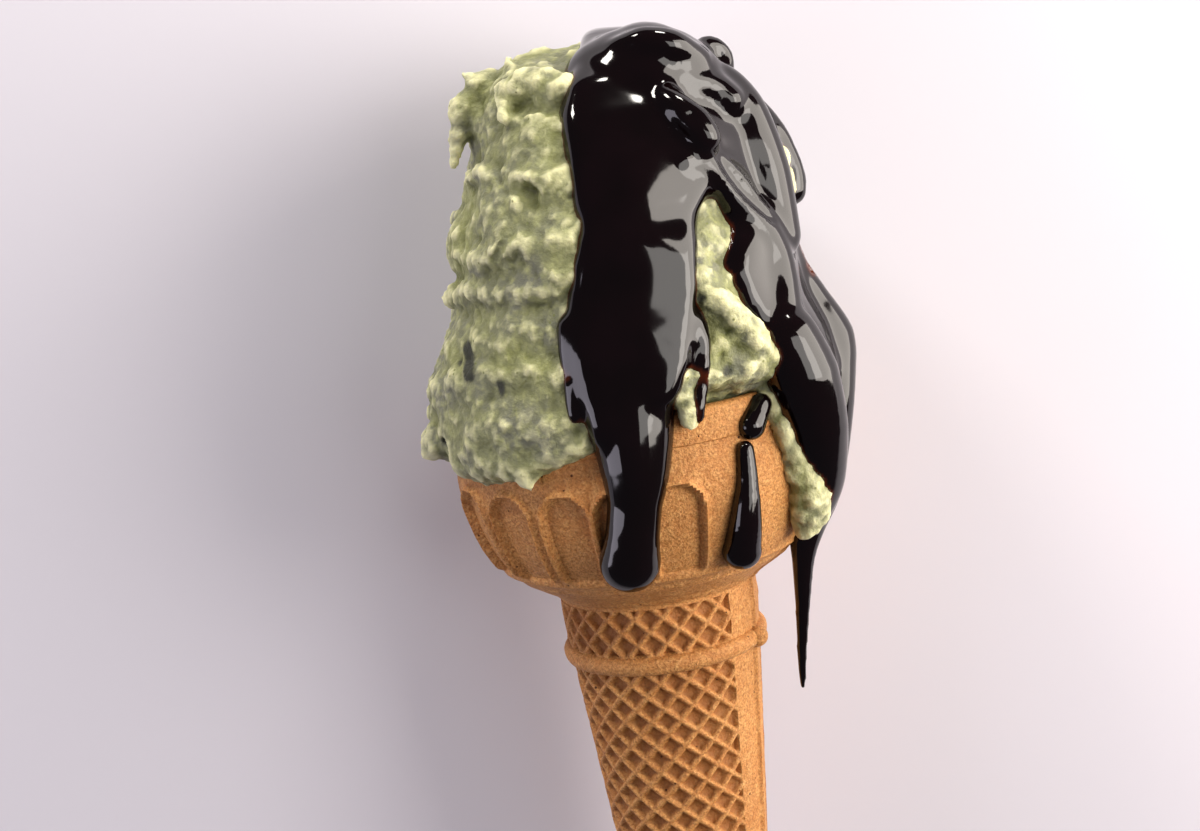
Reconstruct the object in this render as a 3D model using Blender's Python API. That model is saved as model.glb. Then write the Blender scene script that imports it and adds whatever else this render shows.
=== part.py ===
"""Ice cream cone, lying down: a moulded wafer cone, a crumbly heap of ice cream and chocolate sauce.

Metres, +Z up. The cone's axis lies along Y, the ice cream towards +Y, and the side that is looked
at faces +Z. Everything is first placed on the cone's own axis, with y measured from the neck, and
the last function stands the whole on the floor.
"""
import math

import bmesh
import bpy
from mathutils import Vector, noise
from mathutils.geometry import interpolate_bezier

# Sizes of the wafer cone
NECK_RADIUS = 0.0162
TAPER = 0.09
TIP_HEIGHT = -0.080
TIP_BEVEL = 0.0007
COLLAR_BOTTOM = -0.0071
COLLAR_TOP = -0.0041
COLLAR_PROUD = 0.0013
BAND_TOP = 0.0039
RIM_RADIUS = 0.030
LIP_HEIGHT = 0.0367

# The diamond lattice and the arches, the same on both halves of the mould
HALF_TURN = 180.0
LATTICE_START = -92.7
LATTICE_END = 40.7
LATTICE_COLUMNS = 16
LATTICE_ROW = 0.0024
LATTICE_BOTTOM = -0.0770
PIT_DEPTH = 0.0009
COLUMNS_IN_HALF = 24
ARCHES_IN_HALF = 5
ARCH_CENTRE = -26.0
ARCH_PITCH = 20.0
ARCH_RIB = 8.6
ARCH_PANEL = 6.7
ARCH_BOTTOM = 0.0106
ARCH_SHOULDER = 0.0242
ARCH_TOP = 0.0269
ARCH_RELIEF = 0.0008
ARCH_NARROWING = 0.45

# The bowl's outside, from the neck band up, then its inside down to the floor: (height, radius)
BOWL_OUTSIDE = (
    (0.0054, 0.0176),
    (0.0078, 0.0214),
    (0.0100, 0.0240),
    (0.0106, 0.0248),
    (0.0123, 0.0261),
    (0.0160, 0.0279),
    (0.0205, 0.0293),
    (0.0242, 0.0300),
    (0.0269, 0.0300),
    (0.0312, 0.0294),
    (0.0315, 0.0298),
    (0.0362, 0.0295),
    (0.0367, 0.0288),
)
BOWL_INSIDE = (
    (0.0366, 0.0276),
    (0.0300, 0.0270),
    (0.0200, 0.0264),
    (0.0130, 0.0225),
    (0.0105, 0.0160),
)

# The heap of ice cream, level by level: height, then how far it reaches left, right, front, back
HEAP_LEVELS = (
    (0.0090, 0.0040, 0.0040, 0.0040, 0.0040),
    (0.0100, 0.0180, 0.0180, 0.0180, 0.0180),
    (0.0160, 0.0258, 0.0258, 0.0258, 0.0258),
    (0.0230, 0.0280, 0.0280, 0.0280, 0.0280),
    (0.0290, 0.0310, 0.0300, 0.0312, 0.0300),
    (0.0330, 0.0316, 0.0308, 0.0316, 0.0308),
    (0.0380, 0.0314, 0.0318, 0.0315, 0.0314),
    (0.0440, 0.0303, 0.0306, 0.0308, 0.0318),
    (0.0500, 0.0280, 0.0282, 0.0300, 0.0318),
    (0.0560, 0.0236, 0.0268, 0.0288, 0.0315),
    (0.0620, 0.0248, 0.0270, 0.0285, 0.0305),
    (0.0680, 0.0234, 0.0270, 0.0273, 0.0285),
    (0.0740, 0.0196, 0.0264, 0.0255, 0.0260),
    (0.0800, 0.0188, 0.0236, 0.0230, 0.0230),
    (0.0850, 0.0190, 0.0192, 0.0195, 0.0180),
    (0.0880, 0.0176, 0.0150, 0.0155, 0.0135),
    (0.0902, 0.0126, 0.0115, 0.0115, 0.0100),
    (0.0915, 0.0060, 0.0080, 0.0070, 0.0060),
    (0.0920, 0.0002, 0.0002, 0.0002, 0.0002),
)
HEAP_AROUND = 96
HEAP_UP = 72
HEAP_SQUARENESS = 2.3
HEAP_MIDDLE = 0.060
UPWARD_SHARE = 0.45
ROUGH_FROM = 0.024
ROUGH_FULL = 0.032
CRAG_HEIGHT = 0.0014
CRAG_SIZE = 0.0085
LEDGE_HEIGHTS = (0.0745, 0.0650, 0.0565, 0.0440)
LEDGE_DEPTH = 0.0012
LEDGE_REACH = 0.0040
LEDGE_LIP = 0.35
LEDGE_WANDER = 0.0022

# Where the ice cream hangs over the rim, and how low: (angle from the front, lowest height)
OVERHANG = (
    (-180.0, 0.0330),
    (-135.0, 0.0315),
    (-90.0, 0.0285),
    (-60.0, 0.0270),
    (-35.0, 0.0280),
    (-14.0, 0.0320),
    (0.0, 0.0375),
    (40.0, 0.0385),
    (55.0, 0.0350),
    (110.0, 0.0330),
    (150.0, 0.0350),
    (180.0, 0.0330),
)
OVERHANG_ROUND = 0.0025
INSIDE_RIM = 0.0262

# Lumps on the heap: strings of balls, each ball (right, height, front, radius)
RIGHT_LOBE = (
    (0.0220, 0.0400, 0.0200, 0.0068),
    (0.0236, 0.0290, 0.0200, 0.0058),
    (0.0244, 0.0200, 0.0182, 0.0052),
    (0.0250, 0.0145, 0.0168, 0.0040),
)
LEFT_NUB = (
    (-0.0295, 0.0350, 0.0070, 0.0040),
    (-0.0325, 0.0328, 0.0060, 0.0024),
)
TOP_FLAKE = (
    (-0.0150, 0.0872, 0.0050, 0.0034),
    (-0.0190, 0.0850, 0.0060, 0.0024),
    (-0.0204, 0.0800, 0.0070, 0.0018),
    (-0.0214, 0.0768, 0.0075, 0.0012),
)
FRONT_LEDGE = (
    (0.0100, 0.0520, 0.0268, 0.0030),
    (0.0150, 0.0468, 0.0262, 0.0034),
    (0.0205, 0.0415, 0.0240, 0.0032),
)

# The sauce's cover on the front and on the back, as outlines seen from the front: (right, height)
SAUCE_FRONT = (
    (-0.0005, 0.0960),
    (-0.0022, 0.0850),
    (-0.0050, 0.0800),
    (-0.0062, 0.0710),
    (-0.0044, 0.0650),
    (-0.0068, 0.0590),
    (-0.0090, 0.0510),
    (-0.0086, 0.0440),
    (-0.0066, 0.0340),
    (0.0016, 0.0300),
    (0.0042, 0.0320),
    (0.0078, 0.0420),
    (0.0110, 0.0530),
    (0.0117, 0.0600),
    (0.0148, 0.0672),
    (0.0162, 0.0676),
    (0.0176, 0.0625),
    (0.0156, 0.0548),
    (0.0182, 0.0490),
    (0.0210, 0.0430),
    (0.0235, 0.0370),
    (0.0275, 0.0240),
    (0.0290, 0.0140),
    (0.0330, 0.0080),
    (0.0460, 0.0080),
    (0.0460, 0.0960),
)
SAUCE_BACK = (
    (-0.0005, 0.0960),
    (-0.0060, 0.0900),
    (-0.0080, 0.0830),
    (-0.0045, 0.0750),
    (0.0010, 0.0800),
    (0.0060, 0.0740),
    (0.0095, 0.0690),
    (0.0140, 0.0740),
    (0.0175, 0.0660),
    (0.0210, 0.0480),
    (0.0245, 0.0440),
    (0.0265, 0.0520),
    (0.0290, 0.0340),
    (0.0310, 0.0140),
    (0.0340, 0.0080),
    (0.0460, 0.0080),
    (0.0460, 0.0960),
)
SAUCE_THICKNESS = 0.0023
SAUCE_EDGE = 0.0026
BARE_DEPTH = 0.0016

# Thick runs, ribbons and bulbs of sauce, as strings of balls
FRONT_RUN = (
    (-0.0020, 0.0460, 0.0235, 0.0080),
    (-0.0016, 0.0390, 0.0250, 0.0068),
    (-0.0020, 0.0320, 0.0262, 0.0058),
    (-0.0026, 0.0250, 0.0282, 0.0043),
    (-0.0036, 0.0185, 0.0284, 0.0045),
    (-0.0042, 0.0146, 0.0272, 0.0049),
)
TOP_COIL = (
    (0.0130, 0.0885, 0.0060, 0.0030),
    (0.0172, 0.0885, 0.0085, 0.0026),
    (0.0192, 0.0865, 0.0100, 0.0026),
    (0.0178, 0.0845, 0.0130, 0.0026),
    (0.0150, 0.0855, 0.0140, 0.0026),
)
NOSE_RIBBON = (
    (0.0100, 0.0860, 0.0200, 0.0030),
    (0.0160, 0.0815, 0.0205, 0.0034),
    (0.0175, 0.0780, 0.0225, 0.0032),
)
SHOULDER_RIBBON = (
    (0.0200, 0.0840, 0.0140, 0.0030),
    (0.0240, 0.0760, 0.0160, 0.0034),
    (0.0255, 0.0680, 0.0160, 0.0034),
    (0.0250, 0.0600, 0.0170, 0.0032),
    (0.0225, 0.0530, 0.0195, 0.0034),
    (0.0218, 0.0475, 0.0215, 0.0040),
)
SIDE_STRAND = (
    (0.0225, 0.0815, -0.0020, 0.0026),
    (0.0272, 0.0750, 0.0000, 0.0022),
    (0.0290, 0.0690, 0.0010, 0.0019),
    (0.0288, 0.0640, 0.0015, 0.0024),
)
RIGHT_RUN = (
    (0.0260, 0.0560, 0.0070, 0.0040),
    (0.0305, 0.0460, 0.0060, 0.0042),
    (0.0326, 0.0385, 0.0040, 0.0044),
    (0.0318, 0.0300, 0.0060, 0.0046),
    (0.0286, 0.0200, 0.0085, 0.0044),
    (0.0258, 0.0125, 0.0100, 0.0036),
    (0.0236, 0.0070, 0.0100, 0.0022),
    (0.0222, -0.0040, 0.0090, 0.0013),
    (0.0208, -0.0150, 0.0085, 0.0008),
)
LOBE_SKIN = (
    (0.0225, 0.0400, 0.0215, 0.0056),
    (0.0258, 0.0300, 0.0205, 0.0050),
    (0.0272, 0.0210, 0.0175, 0.0046),
    (0.0272, 0.0150, 0.0140, 0.0040),
)
LEFT_SIDE_RUN = (
    (-0.0080, 0.0440, 0.0285, 0.0024),
    (-0.0084, 0.0385, 0.0290, 0.0020),
)
BOWL_DRIP = (
    (0.0152, 0.0290, 0.0265, 0.0014),
    (0.0146, 0.0240, 0.0272, 0.0020),
    (0.0136, 0.0180, 0.0270, 0.0028),
    (0.0128, 0.0135, 0.0252, 0.0033),
)
RIM_DROP = (
    (0.0186, 0.0350, 0.0236, 0.0018),
    (0.0166, 0.0322, 0.0252, 0.0021),
)

# Meshes
GAP = 0.0003
ROUND_GAP = 0.00044
ICE_VOXEL = 0.0012
ICE_FACES = 2500
SAUCE_VOXEL = 0.0010
SAUCE_FACES = 3700
DRIP_VOXEL = 0.0006
DRIP_FACES = 200
BALL_STEP = 0.35
WAFER_CREASE = math.radians(25)
SOFT_CREASE = math.radians(70)
FLOOR = -RIM_RADIUS


def blend_table(rows, value):
    """Read a table whose rows start with a rising value, in a straight line between two rows."""
    if value <= rows[0][0]:
        return rows[0][1:]
    for low, high in zip(rows, rows[1:]):
        if value <= high[0]:
            part = (value - low[0]) / (high[0] - low[0])
            return [a + (b - a) * part for a, b in zip(low[1:], high[1:])]
    return rows[-1][1:]


def round_step(part):
    """Ease from 0 to 1."""
    part = min(1.0, max(0.0, part))
    return part * part * (3.0 - 2.0 * part)


def make_material(name, colour, roughness, metallic=0.0):
    material = bpy.data.materials.new(name)
    material.use_nodes = True
    shader = material.node_tree.nodes["Principled BSDF"]
    shader.inputs["Base Color"].default_value = (*colour, 1.0)
    shader.inputs["Roughness"].default_value = roughness
    shader.inputs["Metallic"].default_value = metallic
    material.diffuse_color = (*colour, 1.0)
    return material


def make_object(name, bm, material=None):
    mesh = bpy.data.meshes.new(name)
    bm.to_mesh(mesh)
    bm.free()
    piece = bpy.data.objects.new(name, mesh)
    bpy.context.collection.objects.link(piece)
    if material:
        mesh.materials.append(material)
    return piece


def settle(piece):
    """Turn an object's modifiers into plain mesh."""
    graph = bpy.context.evaluated_depsgraph_get()
    mesh = bpy.data.meshes.new_from_object(piece.evaluated_get(graph))
    old = piece.data
    piece.modifiers.clear()
    piece.data = mesh
    bpy.data.meshes.remove(old)


def drop(piece):
    mesh = piece.data
    bpy.data.objects.remove(piece)
    bpy.data.meshes.remove(mesh)


def cut_away(piece, cutter):
    """Cut one solid out of another."""
    cutter.hide_render = True
    cutter.display_type = "WIRE"
    modifier = piece.modifiers.new("cut", "BOOLEAN")
    modifier.operation = "DIFFERENCE"
    modifier.solver = "EXACT"
    modifier.object = cutter
    settle(piece)


def melt(piece, voxel, faces):
    """Fuse what overlaps into one skin of small cells, then thin it to about this many faces."""
    remesh = piece.modifiers.new("fuse", "REMESH")
    remesh.mode = "VOXEL"
    remesh.voxel_size = voxel
    settle(piece)
    count = sum(len(face.vertices) - 2 for face in piece.data.polygons)
    decimate = piece.modifiers.new("thin", "DECIMATE")
    decimate.ratio = min(1.0, faces / count)
    settle(piece)


def keep_largest(piece):
    """Drop loose scraps, so that one body is left."""
    bm = bmesh.new()
    bm.from_mesh(piece.data)
    unseen = set(bm.verts)
    bodies = []
    while unseen:
        body = {unseen.pop()}
        edge_of_body = list(body)
        while edge_of_body:
            vert = edge_of_body.pop()
            for edge in vert.link_edges:
                other = edge.other_vert(vert)
                if other in unseen:
                    unseen.remove(other)
                    body.add(other)
                    edge_of_body.append(other)
        bodies.append(body)
    bodies.sort(key=len)
    for body in bodies[:-1]:
        bmesh.ops.delete(bm, geom=list(body), context="VERTS")
    bm.to_mesh(piece.data)
    bm.free()


def swell(piece, amount):
    """Move every point outwards by this much."""
    mesh = piece.data
    moves = [vert.normal.copy() for vert in mesh.vertices]
    for vert, move in zip(mesh.vertices, moves):
        vert.co += move * amount


def shade(piece, crease):
    piece.data.shade_smooth()
    piece.data.set_sharp_from_angle(angle=crease)


def on_axis(angle, radius, height):
    """A point at this angle from the front, this far from the axis."""
    turn = math.radians(angle)
    return Vector((radius * math.sin(turn), height, radius * math.cos(turn)))


def close_rings(bm, rings):
    """Join rings of points in order, and close both ends."""
    count = len(rings[0])
    for lower, upper in zip(rings, rings[1:]):
        for near in range(count):
            far = (near + 1) % count
            bm.faces.new((lower[near], lower[far], upper[far], upper[near]))
    bm.faces.new(tuple(reversed(rings[0])))
    bm.faces.new(tuple(rings[-1]))


def lattice_angles():
    """Where the wafer's columns stand on the stem, all round."""
    step = (LATTICE_END - LATTICE_START) / LATTICE_COLUMNS
    plain = COLUMNS_IN_HALF - LATTICE_COLUMNS
    plain_step = (HALF_TURN - (LATTICE_END - LATTICE_START)) / plain
    half = [LATTICE_START + step * column for column in range(LATTICE_COLUMNS)]
    half += [LATTICE_END + plain_step * column for column in range(plain)]
    return half + [angle + HALF_TURN for angle in half]


def arch_angles(height):
    """Where the same columns stand on the bowl. The arches narrow to a round top."""
    narrow = 1.0
    if ARCH_SHOULDER < height <= ARCH_TOP:
        narrow -= ARCH_NARROWING * (height - ARCH_SHOULDER) / (ARCH_TOP - ARCH_SHOULDER)
    half = []
    first = ARCH_CENTRE - ARCH_PITCH * (ARCHES_IN_HALF - 1) / 2
    for arch in range(ARCHES_IN_HALF):
        centre = first + ARCH_PITCH * arch
        half += [centre - ARCH_RIB * narrow, centre - ARCH_PANEL * narrow]
        half += [centre + ARCH_PANEL * narrow, centre + ARCH_RIB * narrow]
    plain = COLUMNS_IN_HALF - len(half)
    start = first + ARCH_PITCH * (ARCHES_IN_HALF - 1) + ARCH_RIB
    end = first - ARCH_RIB + HALF_TURN
    half += [start + (end - start) * (extra + 1) / (plain + 1) for extra in range(plain)]
    return half + [angle + HALF_TURN for angle in half]


def stem_radius(height):
    return NECK_RADIUS + TAPER * min(height, 0.0)


def lattice_ring(bm, angles, height, row):
    """A ring on the stem whose every other point, in the lattice, is the bottom of a pit."""
    ring = []
    for column, angle in enumerate(angles):
        inside = 0 < column % COLUMNS_IN_HALF < LATTICE_COLUMNS
        depth = PIT_DEPTH if inside and (column % COLUMNS_IN_HALF + row) % 2 else 0.0
        ring.append(bm.verts.new(on_axis(angle, stem_radius(height) - depth, height)))
    return ring


def plain_ring(bm, angles, height, radius):
    return [bm.verts.new(on_axis(angle, radius, height)) for angle in angles]


def arch_ring(bm, height, radius):
    """A ring on the bowl, sunk on the panel inside each arch, so that the ribs stand out."""
    ring = []
    for column, angle in enumerate(arch_angles(height)):
        place = column % COLUMNS_IN_HALF
        panel = place < ARCHES_IN_HALF * 4 and place % 4 in (1, 2)
        sunk = ARCH_RELIEF if panel and ARCH_BOTTOM < height < ARCH_TOP else 0.0
        ring.append(bm.verts.new(on_axis(angle, radius - sunk, height)))
    return ring


def split_pits(bm):
    """Cut the lattice's squares along their ribs, from high corner to high corner."""
    for face in list(bm.faces):
        if len(face.verts) != 4:
            continue
        radii = [Vector((vert.co.x, 0.0, vert.co.z)).length for vert in face.verts]
        even = radii[0] + radii[2]
        odd = radii[1] + radii[3]
        first = 0 if even >= odd else 1
        bmesh.utils.face_split(face, face.verts[first], face.verts[first + 2])


def make_wafer_cone():
    """The moulded wafer cone: a solid stem with a diamond lattice and a bowl with arches."""
    bm = bmesh.new()
    angles = lattice_angles()
    tip_radius = stem_radius(TIP_HEIGHT)
    rings = [plain_ring(bm, angles, TIP_HEIGHT, tip_radius - TIP_BEVEL)]
    rings.append(plain_ring(bm, angles, TIP_HEIGHT + TIP_BEVEL, tip_radius))
    rows = round((COLLAR_BOTTOM - GAP - LATTICE_BOTTOM) / LATTICE_ROW)
    for row in range(rows + 1):
        height = LATTICE_BOTTOM + (COLLAR_BOTTOM - GAP - LATTICE_BOTTOM) * row / rows
        inner = 0 < row < rows
        if inner:
            rings.append(lattice_ring(bm, angles, height, row))
        else:
            rings.append(plain_ring(bm, angles, height, stem_radius(height)))
    collar_middle = (COLLAR_BOTTOM + COLLAR_TOP) / 2
    collar_half = (COLLAR_TOP - COLLAR_BOTTOM) / 2
    for turn in (-75, -30, 30, 75):
        height = collar_middle + collar_half * math.sin(math.radians(turn))
        proud = COLLAR_PROUD * math.cos(math.radians(turn))
        rings.append(plain_ring(bm, angles, height, stem_radius(collar_middle) + proud))
    band_rows = round((BAND_TOP - COLLAR_TOP) / LATTICE_ROW)
    for row in range(band_rows + 1):
        height = COLLAR_TOP + (BAND_TOP - COLLAR_TOP) * row / band_rows
        if 0 < row < band_rows:
            rings.append(lattice_ring(bm, angles, height, row))
        else:
            rings.append(plain_ring(bm, angles, height, stem_radius(height)))
    for height, radius in BOWL_OUTSIDE:
        rings.append(arch_ring(bm, height, radius))
    for height, radius in BOWL_INSIDE:
        rings.append(plain_ring(bm, arch_angles(0.0), height, radius))
    close_rings(bm, rings)
    split_pits(bm)
    bmesh.ops.recalc_face_normals(bm, faces=bm.faces)
    wafer = make_material("baked_wafer", (0.50, 0.24, 0.075), 0.75)
    return make_object("wafer_cone", bm, wafer)


def make_wafer_room():
    """The room that the wafer takes, a little larger all round, without its relief."""
    bm = bmesh.new()
    angles = arch_angles(0.0)
    rings = [plain_ring(bm, angles, TIP_HEIGHT - GAP, stem_radius(TIP_HEIGHT) + GAP)]
    rings.append(plain_ring(bm, angles, 0.0, NECK_RADIUS + COLLAR_PROUD + GAP))
    for height, radius in BOWL_OUTSIDE[:-1]:
        rings.append(plain_ring(bm, angles, height, radius + ROUND_GAP))
    rings.append(plain_ring(bm, angles, LIP_HEIGHT + GAP, BOWL_OUTSIDE[-1][1]))
    for height, radius in BOWL_INSIDE:
        rings.append(plain_ring(bm, angles, height + GAP, radius - ROUND_GAP))
    close_rings(bm, rings)
    bmesh.ops.recalc_face_normals(bm, faces=bm.faces)
    return make_object("wafer_room", bm)


def crag(point, size, seed):
    """Rough relief of about this size, between about -1 and 1."""
    place = point / size + Vector((seed, seed * 0.37, -seed))
    return noise.fractal(place, 0.7, 2.0, 3, noise_basis="PERLIN_ORIGINAL")


def ledge(height, angle):
    """How far the ice cream steps out under each ledge, and in above it."""
    out = 0.0
    for number, middle in enumerate(LEDGE_HEIGHTS):
        wander = LEDGE_WANDER * math.sin(math.radians(angle * (2 + number % 2) + 70 * number))
        away = (middle + wander - height) / LEDGE_REACH
        if 0.0 <= away < 1.0:
            out += LEDGE_DEPTH * (1.0 - away)
        elif -LEDGE_LIP < away < 0.0:
            out += LEDGE_DEPTH * (1.0 + away / LEDGE_LIP)
    return out


def heap_radius(angle, height):
    """How far the heap reaches from the axis, in this direction."""
    left, right, front, back = blend_table(HEAP_LEVELS, height)
    turn = math.radians(angle)
    across = math.sin(turn)
    forward = math.cos(turn)
    half_across = right if across > 0 else left
    half_forward = front if forward > 0 else back
    power = HEAP_SQUARENESS
    reach = (abs(across) / half_across) ** power + (abs(forward) / half_forward) ** power
    radius = reach ** (-1.0 / power)
    low = blend_table(OVERHANG, angle)[0]
    inside = round_step((low + OVERHANG_ROUND - height) / (2 * OVERHANG_ROUND))
    return radius + (min(radius, INSIDE_RIM) - radius) * inside


def outward(point):
    """The way out of the heap, mostly sideways and a little up or down."""
    return Vector((point.x, UPWARD_SHARE * (point.y - HEAP_MIDDLE), point.z)).normalized()


def heap_point(angle, height):
    """A point on the rough skin of the heap."""
    radius = heap_radius(angle, height)
    point = on_axis(angle, radius, height)
    free = round_step((height - ROUGH_FROM) / (ROUGH_FULL - ROUGH_FROM))
    rough = CRAG_HEIGHT * crag(point, CRAG_SIZE, 3.1) + ledge(height, angle)
    return point + outward(point) * rough * free


def heap_heights():
    """Levels from the bottom to the top, closer together near both ends."""
    low = HEAP_LEVELS[0][0]
    high = HEAP_LEVELS[-1][0]
    turns = [math.pi * step / HEAP_UP for step in range(HEAP_UP + 1)]
    return [low + (high - low) * (1.0 - math.cos(turn)) / 2 for turn in turns]


def add_heap(bm, lift=None):
    """Add the heap's skin, raised or sunk at each point by the rule in lift."""
    rings = []
    for height in heap_heights():
        ring = []
        for step in range(HEAP_AROUND):
            angle = -180.0 + 360.0 * step / HEAP_AROUND
            point = heap_point(angle, height)
            if lift:
                point = point + outward(point) * lift(point)
            ring.append(bm.verts.new(point))
        rings.append(ring)
    close_rings(bm, rings)


def add_string(bm, balls):
    """Add overlapping balls along a smooth path through these, so that they fuse into one run."""
    places = [Vector((right, height, front)) for right, height, front, radius in balls]
    radii = [ball[3] for ball in balls]
    for number in range(len(balls) - 1):
        before = places[max(0, number - 1)]
        start = places[number]
        end = places[number + 1]
        after = places[min(len(places) - 1, number + 2)]
        count = max(2, round((end - start).length / (BALL_STEP * min(radii[number:number + 2]))) + 1)
        path = interpolate_bezier(start, start + (end - before) / 6, end - (after - start) / 6, end, count)
        for step, place in enumerate(path):
            part = step / (count - 1)
            radius = radii[number] + (radii[number + 1] - radii[number]) * part
            made = bmesh.ops.create_icosphere(bm, subdivisions=2, radius=radius)
            bmesh.ops.translate(bm, verts=made["verts"], vec=place)


def rest_flat(piece):
    """Cut the back off flat where it lies on the floor."""
    bm = bmesh.new()
    bm.from_mesh(piece.data)
    everything = list(bm.verts) + list(bm.edges) + list(bm.faces)
    cut = bmesh.ops.bisect_plane(
        bm, geom=everything, dist=1e-6, plane_co=(0, 0, FLOOR), plane_no=(0, 0, -1), clear_outer=True
    )
    rim = [item for item in cut["geom_cut"] if isinstance(item, bmesh.types.BMEdge)]
    bmesh.ops.edgeloop_fill(bm, edges=rim)
    bmesh.ops.recalc_face_normals(bm, faces=bm.faces)
    bm.to_mesh(piece.data)
    bm.free()


def make_ice_cream(wafer_room):
    """The heap with its lumps, fused, laid flat at the back and fitted to the bowl."""
    bm = bmesh.new()
    add_heap(bm)
    for lump in (RIGHT_LOBE, LEFT_NUB, TOP_FLAKE, FRONT_LEDGE):
        add_string(bm, lump)
    bmesh.ops.recalc_face_normals(bm, faces=bm.faces)
    pistachio = make_material("pistachio_ice_cream", (0.36, 0.36, 0.17), 0.6)
    piece = make_object("ice_cream", bm, pistachio)
    melt(piece, ICE_VOXEL, ICE_FACES)
    rest_flat(piece)
    whole = bpy.data.objects.new("ice_cream_room", piece.data.copy())
    bpy.context.collection.objects.link(whole)
    swell(whole, ROUND_GAP)
    cut_away(piece, wafer_room)
    keep_largest(piece)
    return piece, whole


def edge_distance(outline, right, height):
    """How far a point lies inside an outline, or outside it as a negative number."""
    inside = False
    nearest = 1.0
    for first, second in zip(outline, outline[1:] + outline[:1]):
        along = Vector((second[0] - first[0], second[1] - first[1]))
        away = Vector((right - first[0], height - first[1]))
        part = min(1.0, max(0.0, away.dot(along) / along.length_squared))
        nearest = min(nearest, (away - along * part).length)
        if (first[1] > height) != (second[1] > height):
            crossing = first[0] + (height - first[1]) / (second[1] - first[1]) * along.x
            if right < crossing:
                inside = not inside
    return nearest if inside else -nearest


def sauce_lift(point):
    """The sauce's thickness over the heap, with a round edge. Bare places are sunk."""
    outline = SAUCE_FRONT if point.z > 0 else SAUCE_BACK
    inside = edge_distance(outline, point.x, point.y)
    if inside <= -SAUCE_EDGE:
        return -BARE_DEPTH
    if inside < 0:
        return BARE_DEPTH * inside / SAUCE_EDGE
    edge = min(1.0, inside / SAUCE_EDGE)
    return SAUCE_THICKNESS * math.sqrt(1.0 - (1.0 - edge) ** 2)


def make_sauce(name, wafer_room, ice_room, strings, voxel, faces, coat, material):
    """Fuse runs of sauce, with or without the coat over the heap, and fit them to what they lie on."""
    bm = bmesh.new()
    if coat:
        add_heap(bm, sauce_lift)
    for string in strings:
        add_string(bm, string)
    bmesh.ops.recalc_face_normals(bm, faces=bm.faces)
    piece = make_object(name, bm, material)
    melt(piece, voxel, faces)
    cut_away(piece, ice_room)
    cut_away(piece, wafer_room)
    keep_largest(piece)
    return piece


def lay_down(pieces):
    """Put the whole on the floor, with the middle of its underside at the origin."""
    points = [vert.co for piece in pieces for vert in piece.data.vertices]
    middle_x = (min(point.x for point in points) + max(point.x for point in points)) / 2
    middle_y = (min(point.y for point in points) + max(point.y for point in points)) / 2
    place = bpy.data.objects.new("place_on_floor", None)
    place.location = (-middle_x, -middle_y, -FLOOR)
    bpy.context.collection.objects.link(place)
    for piece in pieces:
        piece.parent = place


def main():
    for item in list(bpy.data.objects):
        bpy.data.objects.remove(item)
    wafer_cone = make_wafer_cone()
    wafer_room = make_wafer_room()
    ice_cream, ice_room = make_ice_cream(wafer_room)
    chocolate = make_material("chocolate_sauce", (0.012, 0.004, 0.003), 0.12)
    runs = (FRONT_RUN, LEFT_SIDE_RUN, TOP_COIL, NOSE_RIBBON, SHOULDER_RIBBON, SIDE_STRAND)
    runs += (RIGHT_RUN, LOBE_SKIN)
    sauce = make_sauce(
        "chocolate_sauce", wafer_room, ice_room, runs, SAUCE_VOXEL, SAUCE_FACES, True, chocolate
    )
    drip = make_sauce(
        "sauce_drip", wafer_room, ice_room, (BOWL_DRIP,), DRIP_VOXEL, DRIP_FACES, False, chocolate.copy()
    )
    rim_drop = make_sauce(
        "sauce_drop", wafer_room, ice_room, (RIM_DROP,), DRIP_VOXEL, DRIP_FACES, False, chocolate.copy()
    )
    drop(wafer_room)
    drop(ice_room)
    pieces = [wafer_cone, ice_cream, sauce, drip, rim_drop]
    for piece in pieces:
        shade(piece, WAFER_CREASE if piece is wafer_cone else SOFT_CREASE)
    lay_down(pieces)
    for piece in pieces:
        count = sum(len(face.vertices) - 2 for face in piece.data.polygons)
        print(piece.name, "triangles:", count)


main()
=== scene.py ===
# %% [markdown]
# # An ice cream cone with chocolate sauce
# The object is a moulded wafer cone that holds a rough heap of pistachio ice cream, with thick
# chocolate sauce run over it. It lies on its back, because a cone cannot stand. The solids come
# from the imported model, and this notebook makes the surfaces that the eye sees.

# %% The frame and the box that everything stays in
import math
import random

import bmesh
import bpy
import numpy as np
from mathutils import Matrix, Vector, noise
from mathutils.bvhtree import BVHTree
from mathutils.geometry import interpolate_bezier


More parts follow.
